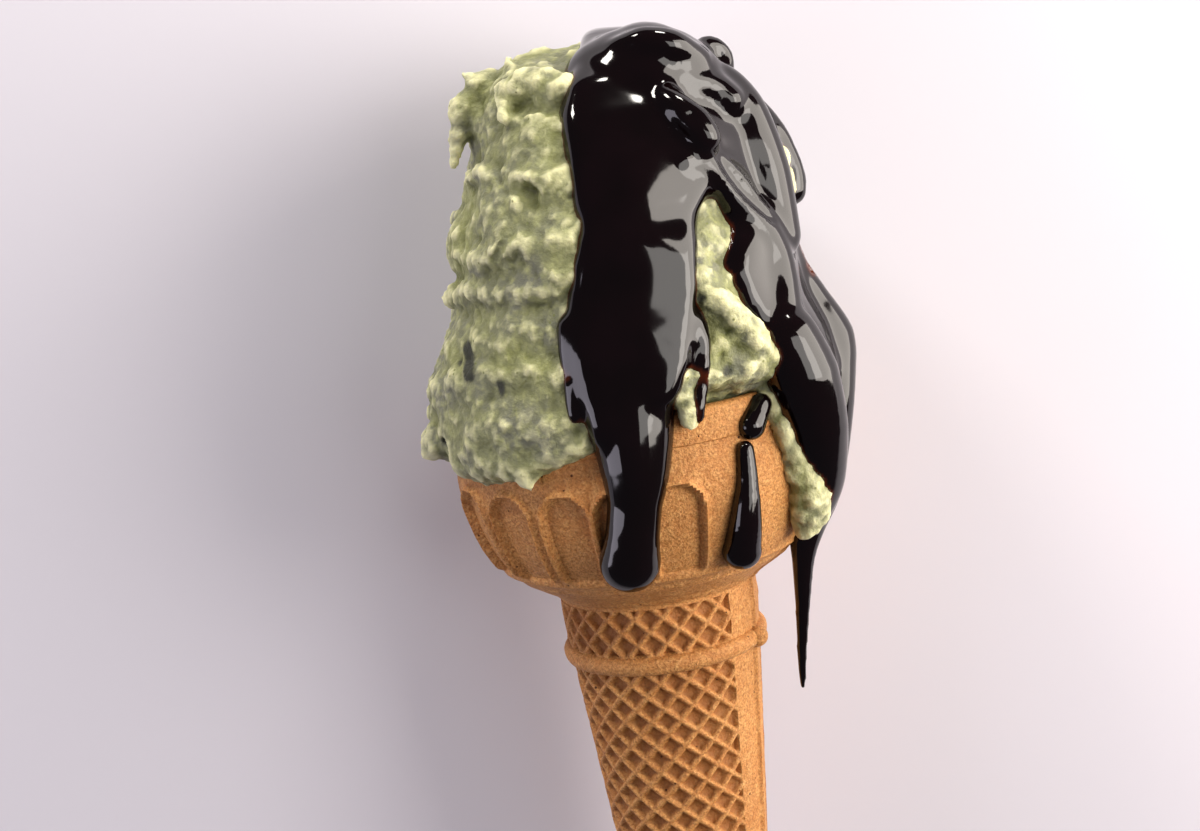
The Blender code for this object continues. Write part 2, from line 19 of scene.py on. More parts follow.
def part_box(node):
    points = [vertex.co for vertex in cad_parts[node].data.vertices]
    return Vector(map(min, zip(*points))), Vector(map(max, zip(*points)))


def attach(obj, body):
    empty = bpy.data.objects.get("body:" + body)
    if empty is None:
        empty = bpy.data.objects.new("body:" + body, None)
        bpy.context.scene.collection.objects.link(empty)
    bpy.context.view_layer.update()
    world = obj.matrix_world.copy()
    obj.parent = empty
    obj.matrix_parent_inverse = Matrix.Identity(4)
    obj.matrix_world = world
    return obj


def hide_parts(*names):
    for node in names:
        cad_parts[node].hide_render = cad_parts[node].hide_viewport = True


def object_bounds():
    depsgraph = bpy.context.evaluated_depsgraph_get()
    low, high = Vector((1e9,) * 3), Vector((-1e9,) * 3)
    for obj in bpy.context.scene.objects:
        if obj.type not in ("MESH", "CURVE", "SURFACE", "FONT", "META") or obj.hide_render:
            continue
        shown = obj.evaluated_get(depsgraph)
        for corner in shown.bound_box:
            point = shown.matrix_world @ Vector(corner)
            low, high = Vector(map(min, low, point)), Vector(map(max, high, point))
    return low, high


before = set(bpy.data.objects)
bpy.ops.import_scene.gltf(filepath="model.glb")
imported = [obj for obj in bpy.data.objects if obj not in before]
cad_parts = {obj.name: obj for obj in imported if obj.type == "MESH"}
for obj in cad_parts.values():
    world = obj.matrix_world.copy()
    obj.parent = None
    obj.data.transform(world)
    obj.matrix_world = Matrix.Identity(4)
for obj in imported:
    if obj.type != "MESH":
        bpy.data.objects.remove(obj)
cad_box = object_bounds()
MM = 0.001
print("box of the solids:", cad_box)

# %% [markdown]
# ## One place for everything
# Every piece is shaped round the cone's own axis: x to the shown side's right, y up the axis from
# the neck, z out towards the viewer. The wafer's box says where that axis lies in the frame, so the
# finished piece only needs one shift, and its object stays at the origin.

# %% The cone's axis in the frame
TIP_LENGTH = 80 * MM
wafer_low, wafer_high = (Vector(corner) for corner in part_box("wafer_cone"))
AXIS = Vector(((wafer_low.x + wafer_high.x) / 2, wafer_low.y + TIP_LENGTH, 30 * MM))
print("neck of the cone:", tuple(round(value, 4) for value in AXIS))

# %% [markdown]
# ## Camera
# The photograph looks at the upright cone from a little above, from about 30 cm away. Lying down,
# that is a camera above the cone, leaned by the same angle, and rolled as the photograph is.

# %% Camera
CAMERA_PLACE = Vector((-5.54, 82.35, 295.9)) * MM
CAMERA_LEAN = math.radians(9.5)
CAMERA_ROLL = math.radians(8.2)
FOCAL_PIXELS = 1840
PICTURE_WIDTH = 1200
SENSOR_WIDTH = 36


def make_camera():
    """A camera that looks down on the cone as the photograph does."""
    across = Vector((1, 0, 0))
    along = Vector((0, math.cos(CAMERA_LEAN), -math.sin(CAMERA_LEAN)))
    right = across * math.cos(CAMERA_ROLL) - along * math.sin(CAMERA_ROLL)
    up = across * math.sin(CAMERA_ROLL) + along * math.cos(CAMERA_ROLL)
    place = Matrix((right, up, right.cross(up))).transposed().to_4x4()
    place.translation = AXIS + CAMERA_PLACE
    data = bpy.data.cameras.new("photo_camera")
    data.sensor_width = SENSOR_WIDTH
    data.lens = FOCAL_PIXELS * SENSOR_WIDTH / PICTURE_WIDTH
    data.clip_start = 0.01
    camera = bpy.data.objects.new("photo_camera", data)
    bpy.context.collection.objects.link(camera)
    camera.matrix_world = place
    bpy.context.scene.camera = camera
    print("camera lens:", round(data.lens, 1), "mm")


make_camera()

# %% [markdown]
# ## Helpers for meshes
# The soft shapes here are made as a cook makes them: lumps and runs are laid over each other, then
# melted into one skin. Blender's voxel remesh does the melting, and a Boolean keeps each piece out
# of its neighbour.

# %% Helpers for meshes
MARGIN = 0.01 * MM


def loose_object(name, bm):
    """A working object that is not yet part of the model."""
    mesh = bpy.data.meshes.new(name)
    bm.to_mesh(mesh)
    bm.free()
    piece = bpy.data.objects.new(name, mesh)
    bpy.context.collection.objects.link(piece)
    return piece


def finish_piece(name, bm, material):
    """Make an object of a mesh shaped round the cone's axis, and move it into the frame."""
    bmesh.ops.translate(bm, verts=bm.verts, vec=AXIS)
    low, high = cad_box
    for vert in bm.verts:
        for axis in range(3):
            vert.co[axis] = min(high[axis] - MARGIN, max(low[axis] + MARGIN, vert.co[axis]))
    piece = loose_object(name, bm)
    piece.data.materials.append(material)
    piece.data.shade_smooth()
    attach(piece, "root")
    print(name, "faces:", len(piece.data.polygons))
    return piece


def settle(piece):
    """Turn an object's modifiers into plain mesh."""
    graph = bpy.context.evaluated_depsgraph_get()
    mesh = bpy.data.meshes.new_from_object(piece.evaluated_get(graph))
    old = piece.data
    piece.modifiers.clear()
    piece.data = mesh
    bpy.data.meshes.remove(old)


def melt(piece, voxel):
    """Fuse what overlaps into one skin of small cells."""
    remesh = piece.modifiers.new("fuse", "REMESH")
    remesh.mode = "VOXEL"
    remesh.voxel_size = voxel
    settle(piece)


def read_mesh(mesh):
    """The places of a mesh's points, the two ends of its edges and how many edges each point has."""
    places = np.empty(len(mesh.vertices) * 3)
    mesh.vertices.foreach_get("co", places)
    pairs = np.empty(len(mesh.edges) * 2, dtype=np.int64)
    mesh.edges.foreach_get("vertices", pairs)
    links = np.maximum(np.bincount(pairs, minlength=len(mesh.vertices)), 1)
    return places.reshape(-1, 3), pairs.reshape(-1, 2), links


def to_neighbours(places, pairs, links):
    """From each point to the middle of its neighbours."""
    first, second = pairs.T
    total = [
        np.bincount(first, places[second, axis], len(places))
        + np.bincount(second, places[first, axis], len(places))
        for axis in range(3)
    ]
    return np.stack(total, axis=1) / links[:, None] - places


def read_normals(mesh):
    """The outward direction at each of a mesh's points."""
    normals = np.empty(len(mesh.vertices) * 3)
    mesh.vertex_normals.foreach_get("vector", normals)
    return normals.reshape(-1, 3)


def let_flow(piece, rounds, fill, shrink):
    """Fill hollows as a thick liquid does: points in a crease move out, the others hardly move."""
    mesh = piece.data
    places, pairs, links = read_mesh(mesh)
    for count in range(rounds):
        step = to_neighbours(places, pairs, links)
        rise = (step * read_normals(mesh)).sum(axis=1, keepdims=True)
        places += step * np.where(rise > 0, fill, shrink)
        mesh.vertices.foreach_set("co", places.ravel())
        mesh.update()


def keep_mark(mesh, name, values):
    """Keep a value on each point, for a material to read."""
    layer = mesh.attributes.new(name, "FLOAT", "POINT")
    layer.data.foreach_set("value", values)


def mark_relief(mesh, rounds, height):
    """Keep on each point how far it stands above its surroundings, as a share of this height."""
    places, pairs, links = read_mesh(mesh)
    level = places.copy()
    for count in range(rounds):
        level += 0.7 * to_neighbours(level, pairs, links)
    raised = ((places - level) * read_normals(mesh)).sum(axis=1) / height
    keep_mark(mesh, "raised", np.clip(raised, -1.0, 1.0))


def cut_away(piece, cutter):
    """Cut one closed skin out of another."""
    modifier = piece.modifiers.new("cut", "BOOLEAN")
    modifier.operation = "DIFFERENCE"
    modifier.solver = "MANIFOLD"
    modifier.object = cutter
    settle(piece)


def drop(piece):
    """Remove a working object and its mesh."""
    mesh = piece.data
    bpy.data.objects.remove(piece)
    bpy.data.meshes.remove(mesh)


def keep_largest(bm):
    """Drop loose scraps, so that one body is left."""
    unseen = set(bm.verts)
    bodies = []
    while unseen:
        body = {unseen.pop()}
        rim = list(body)
        while rim:
            vert = rim.pop()
            for edge in vert.link_edges:
                other = edge.other_vert(vert)
                if other in unseen:
                    unseen.remove(other)
                    body.add(other)
                    rim.append(other)
        bodies.append(body)
    bodies.sort(key=len)
    for body in bodies[:-1]:
        bmesh.ops.delete(bm, geom=list(body), context="VERTS")


def on_axis(angle, radius, height):
    """A point at this angle from the front, this far from the axis."""
    turn = math.radians(angle)
    return Vector((radius * math.sin(turn), height, radius * math.cos(turn)))


def move_out(vert, distance):
    """Move a point straight away from the axis."""
    radius = math.hypot(vert.co.x, vert.co.z)
    scale = (radius + distance) / radius
    vert.co = Vector((vert.co.x * scale, vert.co.y, vert.co.z * scale))


def from_stretch(away, along):
    """How far a point is from a straight stretch, both seen from where the stretch starts."""
    part = min(1.0, max(0.0, away.dot(along) / along.length_squared))
    return (away - along * part).length


def round_step(part):
    """Ease from 0 to 1."""
    part = min(1.0, max(0.0, part))
    return part * part * (3.0 - 2.0 * part)


def blend_table(rows, value):
    """Read a table whose rows start with a rising value, in a straight line between two rows."""
    if value <= rows[0][0]:
        return rows[0][1:]
    for low, high in zip(rows, rows[1:]):
        if value <= high[0]:
            part = (value - low[0]) / (high[0] - low[0])
            return [a + (b - a) * part for a, b in zip(low[1:], high[1:])]
    return rows[-1][1:]


# %% [markdown]
# ## Helpers for materials
# Colours are written as the hex values that a picture shows and turned to linear light in one
# place. One function adds a node, sets what it needs and links its inputs.

# %% Helpers for materials
def hex_colour(text):
    """Turn an sRGB hex colour into linear values with full alpha."""
    values = [int(text[start:start + 2], 16) / 255 for start in (1, 3, 5)]
    linear = [v / 12.92 if v <= 0.04045 else ((v + 0.055) / 1.055) ** 2.4 for v in values]
    return (*linear, 1.0)


def add_node(tree, kind, settings=None, values=None, links=None):
    """Add a node with its settings, its socket values and its incoming links."""
    node = tree.nodes.new(kind)
    for name, value in (settings or {}).items():
        setattr(node, name, value)
    for socket, value in (values or {}).items():
        node.inputs[socket].default_value = value
    for socket, source in (links or {}).items():
        tree.links.new(source, node.inputs[socket])
    return node


def start_material(name):
    """A new material with its shader and the object's own coordinates."""
    material = bpy.data.materials.new(name)
    material.use_nodes = True
    tree = material.node_tree
    shader = tree.nodes["Principled BSDF"]
    place = add_node(tree, "ShaderNodeTexCoord").outputs["Object"]
    return material, tree, shader, place


def mix_colours(tree, factor, first, second):
    """Mix two colours, each a hex text or a socket, by a factor socket."""
    node = add_node(tree, "ShaderNodeMix", {"data_type": "RGBA"}, links={0: factor})
    for socket, colour in ((6, first), (7, second)):
        if isinstance(colour, str):
            node.inputs[socket].default_value = hex_colour(colour)
        else:
            tree.links.new(colour, node.inputs[socket])
    return node.outputs[2]


def ramp(tree, source, low, high):
    """Turn values between low and high into 0 to 1."""
    values = {"From Min": low, "From Max": high}
    node = add_node(tree, "ShaderNodeMapRange", values=values, links={"Value": source})
    return node.outputs["Result"]


def soft_spots(tree, place, size, detail, roughness=0.5):
    """Soft random spots of about this size, as values from 0 to 1."""
    values = {"Scale": 1 / size, "Detail": detail, "Roughness": roughness}
    return add_node(tree, "ShaderNodeTexNoise", values=values, links={"Vector": place}).outputs["Fac"]


def scattered_dots(tree, place, size):
    """One dot at random in each cell of about this size."""
    values = {"Scale": 1 / size}
    return add_node(tree, "ShaderNodeTexVoronoi", values=values, links={"Vector": place}).outputs


def read_mark(tree, name):
    """The value that the mesh keeps on its points under this name."""
    return add_node(tree, "ShaderNodeAttribute", {"attribute_name": name}).outputs["Fac"]


def combine(tree, operation, links, values=None):
    """Work out one value from two."""
    return add_node(tree, "ShaderNodeMath", {"operation": operation}, values, links).outputs["Value"]


def add_bump(tree, height, strength, depth, under=None, invert=False):
    """Fine relief for the light only. It can lie on top of another one."""
    links = {"Height": height}
    if under is not None:
        links["Normal"] = under
    values = {"Strength": strength, "Distance": depth}
    return add_node(tree, "ShaderNodeBump", {"invert": invert}, values, links).outputs["Normal"]


def finish_material(tree, shader, colour, relief, values):
    """Link colour and relief to the shader, and set its plain values."""
    tree.links.new(colour, shader.inputs["Base Color"])
    if relief is not None:
        tree.links.new(relief, shader.inputs["Normal"])
    for socket, value in values.items():
        shader.inputs[socket].default_value = value


# %% [markdown]
# ## Material: baked wafer
# The cone is batter baked in a steel mould. Its skin is dull and slightly grainy, paler where the
# mould touched it well and browner where sugar toasted, with pinholes where steam got out.

# %% Material: baked wafer
GRAIN = 0.4 * MM
PORE_SPACING = 1.5 * MM
PORE_REACH = 0.17
MOTTLE = 1.1 * MM
TOAST_PATCH = 14 * MM


def baked_wafer():
    """Baked batter: dull, grainy, toasted in patches, with pinholes and painted shade in the pits."""
    material, tree, shader, place = start_material("baked_wafer")
    patch = soft_spots(tree, place, TOAST_PATCH, 3)
    grain = soft_spots(tree, place, GRAIN, 2, 0.7)
    mottle = soft_spots(tree, place, MOTTLE, 3)
    pores = scattered_dots(tree, place, PORE_SPACING)
    split = add_node(tree, "ShaderNodeSeparateColor", links={"Color": pores["Color"]})
    pore_size = ramp(tree, split.outputs["Red"], 0.55, 1.0)
    reach = combine(tree, "MULTIPLY", {0: pore_size}, {1: PORE_REACH})
    inside = combine(tree, "SUBTRACT", {0: reach, 1: pores["Distance"]})
    hole = ramp(tree, inside, 0.0, 0.05)
    colour = mix_colours(tree, ramp(tree, patch, 0.35, 0.7), "#d69a5a", "#bc7c42")
    colour = mix_colours(tree, ramp(tree, mottle, 0.4, 0.75), colour, "#dfa868")
    colour = mix_colours(tree, ramp(tree, grain, 0.62, 0.3), colour, "#9c6534")
    # Painted shade: the deeper a lattice pit, the darker its colour.
    colour = mix_colours(tree, ramp(tree, read_mark(tree, "pit"), 0.1, 1.3), colour, "#8c5527")
    colour = mix_colours(tree, hole, colour, "#5c3517")
    relief = add_bump(tree, grain, 0.7, 0.3 * MM)
    relief = add_bump(tree, mottle, 0.5, 0.5 * MM, relief)
    relief = add_bump(tree, hole, 0.8, 0.5 * MM, relief, True)
    finish_material(tree, shader, colour, relief, {
        "Roughness": 0.62,
        "IOR": 1.45,
        "Specular IOR Level": 0.35,
        "Subsurface Weight": 0.12,
        "Subsurface Radius": (1.0, 0.5, 0.2),
        "Subsurface Scale": 1.2 * MM,
    })
    return material


wafer_material = baked_wafer()

# %% [markdown]
# ## Material: pistachio ice cream
# Ice cream is ice crystals and fat with air beaten in. Light goes a few millimetres into it, so it
# looks soft, and its skin is moist but not shiny. The green is greyer in some places and yellower
# in others, with tiny bits of nut.

# %% Material: pistachio ice cream
CRYSTAL = 0.45 * MM
CREAM_PATCH = 9 * MM
NUT_SPACING = 2.4 * MM


def pistachio_ice_cream():
    """Soft, moist ice cream in two greens, with nut bits, painted highlights and painted shade."""
    material, tree, shader, place = start_material("pistachio_ice_cream")
    patch = soft_spots(tree, place, CREAM_PATCH, 4)
    crystals = soft_spots(tree, place, CRYSTAL, 4)
    crumbs = soft_spots(tree, place, 4 * CRYSTAL, 3)
    nuts = scattered_dots(tree, place, NUT_SPACING)
    raised = read_mark(tree, "raised")
    colour = mix_colours(tree, ramp(tree, patch, 0.35, 0.65), "#7c7d6a", "#8e915c")
    colour = mix_colours(tree, ramp(tree, crumbs, 0.45, 0.7), colour, "#a6a876")
    # Painted highlight on raised crests and painted shade in sunk places, both read from the mesh's relief.
    colour = mix_colours(tree, ramp(tree, raised, 0.15, 0.9), colour, "#e8e5b4")
    colour = mix_colours(tree, ramp(tree, raised, -0.1, -1.0), colour, "#5a5d30")
    colour = mix_colours(tree, ramp(tree, nuts["Distance"], 0.12, 0.05), colour, "#7f8450")
    colour = mix_colours(tree, ramp(tree, read_mark(tree, "fleck"), 0.0, 1.0), colour, "#3a3c2e")
    relief = add_bump(tree, crumbs, 0.5, 0.7 * MM)
    relief = add_bump(tree, crystals, 0.35, 0.3 * MM, relief)
    finish_material(tree, shader, colour, relief, {
        "Roughness": 0.5,
        "IOR": 1.35,
        "Subsurface Weight": 0.2,
        "Subsurface Radius": (1.0, 0.9, 0.45),
        "Subsurface Scale": 1.2 * MM,
    })
    return material


ice_cream_material = pistachio_ice_cream()

# %% [markdown]
# ## Material: chocolate sauce
# Chocolate sauce is a syrup full of cocoa. A layer of more than a millimetre lets no light through,
# so it is nearly black, and its wet skin mirrors whatever is around it. Where it is thinner, brown
# shows.

# %% Material: chocolate sauce
SWIRL = 8 * MM


def chocolate_sauce():
    """Wet, near-black syrup with a mirror-like skin."""
    material, tree, shader, place = start_material("chocolate_sauce")
    swirl = soft_spots(tree, place, SWIRL, 2)
    colour = mix_colours(tree, ramp(tree, swirl, 0.4, 0.7), "#070202", "#0b0304")
    colour = mix_colours(tree, ramp(tree, read_mark(tree, "thin"), 0.1, 0.9), colour, "#4c1e08")
    relief = add_bump(tree, swirl, 0.12, 0.5 * MM)
    finish_material(tree, shader, colour, relief, {"Roughness": 0.07, "IOR": 1.48})
    return material


sauce_material = chocolate_sauce()

# %% [markdown]
# ## The wafer cone
# The real cone is one piece of baked batter, round where the mould is round and marked by the
# mould's relief: a lattice of diamond pits on the stem and a row of arches round the bowl. The
# profile is spun round the axis into a fine skin, and each point is then sunk or raised by a rule
# for the relief, which is what the mould does to the batter.

# %% Sizes of the wafer cone
NECK_RADIUS = 16.2 * MM
TAPER = 0.09
TIP_BEVEL = 0.7 * MM
COLLAR_BOTTOM = -7.1 * MM
COLLAR_TOP = -4.1 * MM
COLLAR_PROUD = 1.3 * MM
BAND_TOP = 3.9 * MM
LATTICE_BOTTOM = -77 * MM
LATTICE_TOP = 3.7 * MM
SUNK_EDGE = 0.25 * MM
RIM_RADIUS = 30 * MM
BOWL_OUTSIDE = (
    (5.4, 17.6), (7.8, 21.4), (10.0, 24.0), (10.6, 24.8), (12.3, 26.1), (16.0, 27.9), (20.5, 29.3),
    (24.2, 29.95), (26.9, 30.0), (31.2, 29.4), (31.5, 29.8), (36.2, 29.5), (36.7, 28.8),
)
BOWL_INSIDE = ((36.6, 27.6), (30.0, 27.0), (20.0, 26.4), (13.0, 22.5), (10.5, 16.0))

SPIN_STEPS = 408
STEM_ROW = 4.0 * MM
BOWL_ROW = 0.42 * MM


def stem_radius(height):
    """The plain stem's radius at this height, narrower towards the tip."""
    return NECK_RADIUS + TAPER * min(height, 0.0)


def collar_profile():
    """The half-round collar under the upper lattice."""
    middle = (COLLAR_BOTTOM + COLLAR_TOP) / 2
    half = (COLLAR_TOP - COLLAR_BOTTOM) / 2
    points = []
    for turn in range(-80, 81, 16):
        rise = math.radians(turn)
        points.append((middle + half * math.sin(rise), stem_radius(middle) + COLLAR_PROUD * math.cos(rise)))
    return points


def stem_profile(bottom, top):
    """Evenly spaced points up a stretch of the stem."""
    rows = max(1, round((top - bottom) / STEM_ROW))
    heights = [bottom + (top - bottom) * row / rows for row in range(rows + 1)]
    return [(height, stem_radius(height)) for height in heights]


def soft_curve(points, spacing):
    """A smooth curve through points, with even spacing, for the bowl's outline."""
    places = [Vector((height * MM, radius * MM, 0)) for height, radius in points]
    curve = [places[0]]
    for number in range(len(places) - 1):
        before = places[max(0, number - 1)]
        start, end = places[number], places[number + 1]
        after = places[min(len(places) - 1, number + 2)]
        reach = (end - start).length
        lead = (end - before).normalized() * reach / 3
        trail = (after - start).normalized() * reach / 3
        count = max(2, round(reach / spacing) + 1)
        curve += interpolate_bezier(start, start + lead, end - trail, end, count)[1:]
    return [(point.x, point.y) for point in curve]


def wafer_profile():
    """The whole outline from the middle of the tip, up the outside and down into the bowl."""
    tip = stem_radius(-TIP_LENGTH)
    profile = [(-TIP_LENGTH, 0.0), (-TIP_LENGTH, tip - 3 * MM), (-TIP_LENGTH, tip - TIP_BEVEL)]
    profile += stem_profile(-TIP_LENGTH + TIP_BEVEL, LATTICE_BOTTOM)
    profile += stem_profile(LATTICE_BOTTOM + SUNK_EDGE, COLLAR_BOTTOM - SUNK_EDGE)
    profile.append((COLLAR_BOTTOM, stem_radius(COLLAR_BOTTOM)))
    profile += collar_profile()
    profile.append((COLLAR_TOP, stem_radius(COLLAR_TOP)))
    profile += stem_profile(COLLAR_TOP + SUNK_EDGE, LATTICE_TOP - SUNK_EDGE)
    profile += stem_profile(LATTICE_TOP, BAND_TOP)
    profile += soft_curve(((4.3, 16.25),) + BOWL_OUTSIDE, BOWL_ROW)
    profile += [(height * MM, radius * MM) for height, radius in BOWL_INSIDE]
    profile.append((BOWL_INSIDE[-1][0] * MM, 0.0))
    return profile


profile_points = wafer_profile()
print("points on the wafer's outline:", len(profile_points))

# %% [markdown]
# ### The mould's relief
# The arches round the bowl are panels with a round top and a thin raised rib. Both halves of the
# mould are alike, and between them runs a parting ridge, down the whole stem. Where the lattice
# goes, the spun skin is sunk, and the lattice's own skin is laid there afterwards.

# %% The mould's relief
HALF_TURN = 180.0
MOULD_CENTRE = -26.0
LATTICE_HALF_SPAN = 66.7
LATTICE_BED = 1.6 * MM
ARCH_ANGLES = (-40.0, -20.0, 0.0, 16.8, 33.6)
ARCH_HALF_WIDTH = 3.75 * MM
ARCH_SPRING = 22.0 * MM
ARCH_BOTTOM = 10.9 * MM
ARCH_RIB = 1.2 * MM
ARCH_RIB_HEIGHT = 0.75 * MM
ARCH_SUNK = 0.75 * MM
ARCH_WALL = 0.7 * MM
RING_LINES = ((10.2, 0.55), (8.4, 0.2), (4.8, 0.2))
RING_WIDTH = 0.7 * MM
SEAM_ANGLE = 64.0
SEAM_HALF = 0.6 * MM
SEAM_HEIGHT = 0.6 * MM


def from_mould_centre(angle):
    """The angle from the middle of the mould half that this point lies in, -90 to 90."""
    return (angle - MOULD_CENTRE + 90.0) % HALF_TURN - 90.0


def in_lattice(angle, height):
    """Whether the lattice covers this point of the stem."""
    low = LATTICE_BOTTOM + SUNK_EDGE / 2 < height < COLLAR_BOTTOM - SUNK_EDGE / 2
    high = COLLAR_TOP + SUNK_EDGE / 2 < height < LATTICE_TOP - SUNK_EDGE / 2
    return (low or high) and abs(from_mould_centre(angle)) < LATTICE_HALF_SPAN - 0.4


def arch_relief(angle, height):
    """How far the nearest arch raises or sinks the bowl here."""
    if height < ARCH_BOTTOM:
        return 0.0
    off = from_mould_centre(angle)
    nearest = min(ARCH_ANGLES, key=lambda arch: abs(off - arch))
    across = math.radians(off - nearest) * RIM_RADIUS
    if height > ARCH_SPRING:
        away = math.hypot(across, height - ARCH_SPRING) - ARCH_HALF_WIDTH
    else:
        away = abs(across) - ARCH_HALF_WIDTH
    start = round_step((height - ARCH_BOTTOM) / (0.8 * MM))
    rise = round_step(away / ARCH_WALL + 0.5)
    fall = round_step((away - ARCH_RIB / 2) / (ARCH_RIB / 2))
    return ((ARCH_SUNK + ARCH_RIB_HEIGHT) * rise - ARCH_SUNK - ARCH_RIB_HEIGHT * fall) * start


def ring_relief(height):
    """The thin raised lines that run round the bowl under the arches."""
    out = 0.0
    for middle, proud in RING_LINES:
        away = abs(height - middle * MM) / RING_WIDTH
        out += proud * MM * (1.0 - round_step(away))
    return out


def seam_relief(angle, radius):
    """The thin ridge where the two halves of the mould met."""
    off = (angle - SEAM_ANGLE + 90.0) % HALF_TURN - 90.0
    away = abs(math.radians(off) * radius)
    return SEAM_HEIGHT * (1.0 - round_step(away / SEAM_HALF))


def wobble(point):
    """The slight unevenness of everything baked."""
    return 0.10 * MM * noise.noise(point / (5 * MM)) + 0.05 * MM * noise.noise(point / (1.3 * MM))


def wafer_relief(point):
    """How far one point of the plain spun skin moves out."""
    angle = math.degrees(math.atan2(point.x, point.z))
    radius = math.hypot(point.x, point.z)
    if in_lattice(angle, point.y):
        return -LATTICE_BED
    return arch_relief(angle, point.y) + ring_relief(point.y) + seam_relief(angle, radius) + wobble(point)


# %% [markdown]
# ### Spin and press
# The outline is spun all the way round. The rows on the outside are then pressed by the relief,
# while the inside of the bowl stays plain.

# %% Spin and press the wafer
def spin_wafer():
    """The outline spun round the axis, with its outside pressed by the relief."""
    bm = bmesh.new()
    outline = [bm.verts.new((0.0, height, radius)) for height, radius in profile_points]
    edges = [bm.edges.new(pair) for pair in zip(outline, outline[1:])]
    bmesh.ops.spin(
        bm, geom=outline + edges, cent=(0, 0, 0), axis=(0, 1, 0), angle=math.tau, steps=SPIN_STEPS,
        use_merge=True,
    )
    bmesh.ops.remove_doubles(bm, verts=bm.verts, dist=0.001 * MM)
    bmesh.ops.recalc_face_normals(bm, faces=bm.faces)
    lip = BOWL_OUTSIDE[-1][0] * MM
    inside = BOWL_INSIDE[0][1] * MM
    for vert in bm.verts:
        radius = math.hypot(vert.co.x, vert.co.z)
        if radius < 5 * MM or vert.co.y > lip - 0.3 * MM:
            continue
        if vert.co.y > 5 * MM and radius < inside and radius < outer_radius(vert.co.y) - 0.5 * MM:
            continue
        move_out(vert, wafer_relief(vert.co))
    return bm


def outer_radius(height):
    """The bowl's plain outer radius at this height."""
    rows = [(level * MM, radius * MM) for level, radius in BOWL_OUTSIDE]
    return blend_table(rows, height)[0]


wafer_skin = loose_object("wafer_skin", spin_wafer())

# %% [markdown]
# ### The lattice
# The lattice has pits of one size all down the stem, so on the narrower end fewer fit round. Two
# families of thin round ribs cross at about 45 degrees. A flat sheet in the shape of the unrolled
# stem is cut along every rib's crest, shoulders and feet, which keeps the ribs crisp with few
# faces. The sheet is then wrapped round the stem while each point sinks by its distance from the
# nearest rib, and its rim is turned inwards and closed.

# %% The lattice
CELL_ACROSS = 2.35 * MM
CELL_ALONG = 2.2 * MM
RIB_PROFILE = ((0.0, 0.0), (0.24, 0.06), (0.46, 0.36), (0.66, 0.84), (0.9, 1.0))
RIB_CUTS = (-0.9, -0.66, -0.46, -0.24, 0.0, 0.24, 0.46, 0.66, 0.9)
RIB_WAVER = 0.12
FIELD_RAISE = 0.12 * MM
FIELD_EDGE = 0.35 * MM
RIM_DEPTH = 2.4 * MM
PIT_FULL = 1.0
KNOB_RADIUS = 1.8 * MM


def cut_sheet(bm, place, normal):
    """Cut every face of a flat sheet along one line."""
    geometry = bm.verts[:] + bm.edges[:] + bm.faces[:]
    bmesh.ops.bisect_plane(bm, geom=geometry, dist=0.0001 * MM, plane_co=place, plane_no=normal)


def rib_normals():
    """The two directions square to the ribs on the flat sheet, and the distance between two ribs."""
    steep = Vector((1 / CELL_ACROSS, 1 / CELL_ALONG, 0)) / 2
    return (steep.normalized(), Vector((steep.x, -steep.y, 0)).normalized()), 1 / steep.length


def from_rib(place, normal, spacing):
    """The distance of a point on the sheet from the nearest rib of one family."""
    part = place.dot(normal) / spacing
    return abs(part - round(part)) * spacing


def pit_depth(place, bottom, top):
    """How deep a point of the sheet lies under the crests of the ribs."""
    normals, spacing = rib_normals()
    nearest = min(from_rib(place, normal, spacing) for normal in normals)
    waver = RIB_WAVER * noise.noise(place / (3 * MM) + Vector((5, 0, 2)))
    depth = blend_table(RIB_PROFILE, max(0.0, nearest / MM + waver))[0]
    side = math.radians(LATTICE_HALF_SPAN) * stem_radius(place.y) - abs(place.x)
    edge = min(side, place.y - bottom, top - place.y)
    return depth * min(1.0, max(0.0, edge / FIELD_EDGE))


def make_field(bottom, top):
    """One field of the lattice on one half of the stem, as a closed skin."""
    half = math.radians(LATTICE_HALF_SPAN)
    bm = bmesh.new()
    low = half * stem_radius(bottom)
    high = half * stem_radius(top)
    corners = ((-low, bottom, 0), (low, bottom, 0), (high, top, 0), (-high, top, 0))
    bm.faces.new([bm.verts.new(corner) for corner in corners])
    normals, spacing = rib_normals()
    for normal in normals:
        reaches = [Vector(corner).dot(normal) / spacing for corner in corners]
        for rib in range(math.floor(min(reaches)), math.ceil(max(reaches)) + 1):
            for away in RIB_CUTS:
                cut_sheet(bm, normal * (rib * spacing + away * MM), normal)
    for sign in (-1, 1):
        cut_sheet(bm, (sign * (low - FIELD_EDGE), bottom, 0), Vector((top - bottom, sign * (low - high), 0)))
    cut_sheet(bm, (0, bottom + FIELD_EDGE, 0), (0, 1, 0))
    cut_sheet(bm, (0, top - FIELD_EDGE, 0), (0, 1, 0))
    # The pit depth is kept on each point, and the material darkens deep pits with it as painted shade.
    layer = bm.verts.layers.float.new("pit")
    for vert in bm.verts:
        place = vert.co.copy()
        depth = pit_depth(place, bottom, top)
        angle = MOULD_CENTRE + math.degrees(place.x / stem_radius(place.y))
        wrapped = on_axis(angle, stem_radius(place.y), place.y)
        out = FIELD_RAISE - depth * MM + wobble(wrapped)
        vert.co = on_axis(angle, stem_radius(place.y) + out, place.y)
        vert[layer] = depth / PIT_FULL
    rim = [edge for edge in bm.edges if edge.is_boundary]
    turned = bmesh.ops.extrude_edge_only(bm, edges=rim)["geom"]
    for vert in turned:
        if isinstance(vert, bmesh.types.BMVert):
            move_out(vert, -RIM_DEPTH)
    bmesh.ops.holes_fill(bm, edges=[edge for edge in bm.edges if edge.is_boundary], sides=0)
    bmesh.ops.recalc_face_normals(bm, faces=bm.faces)
    return bm


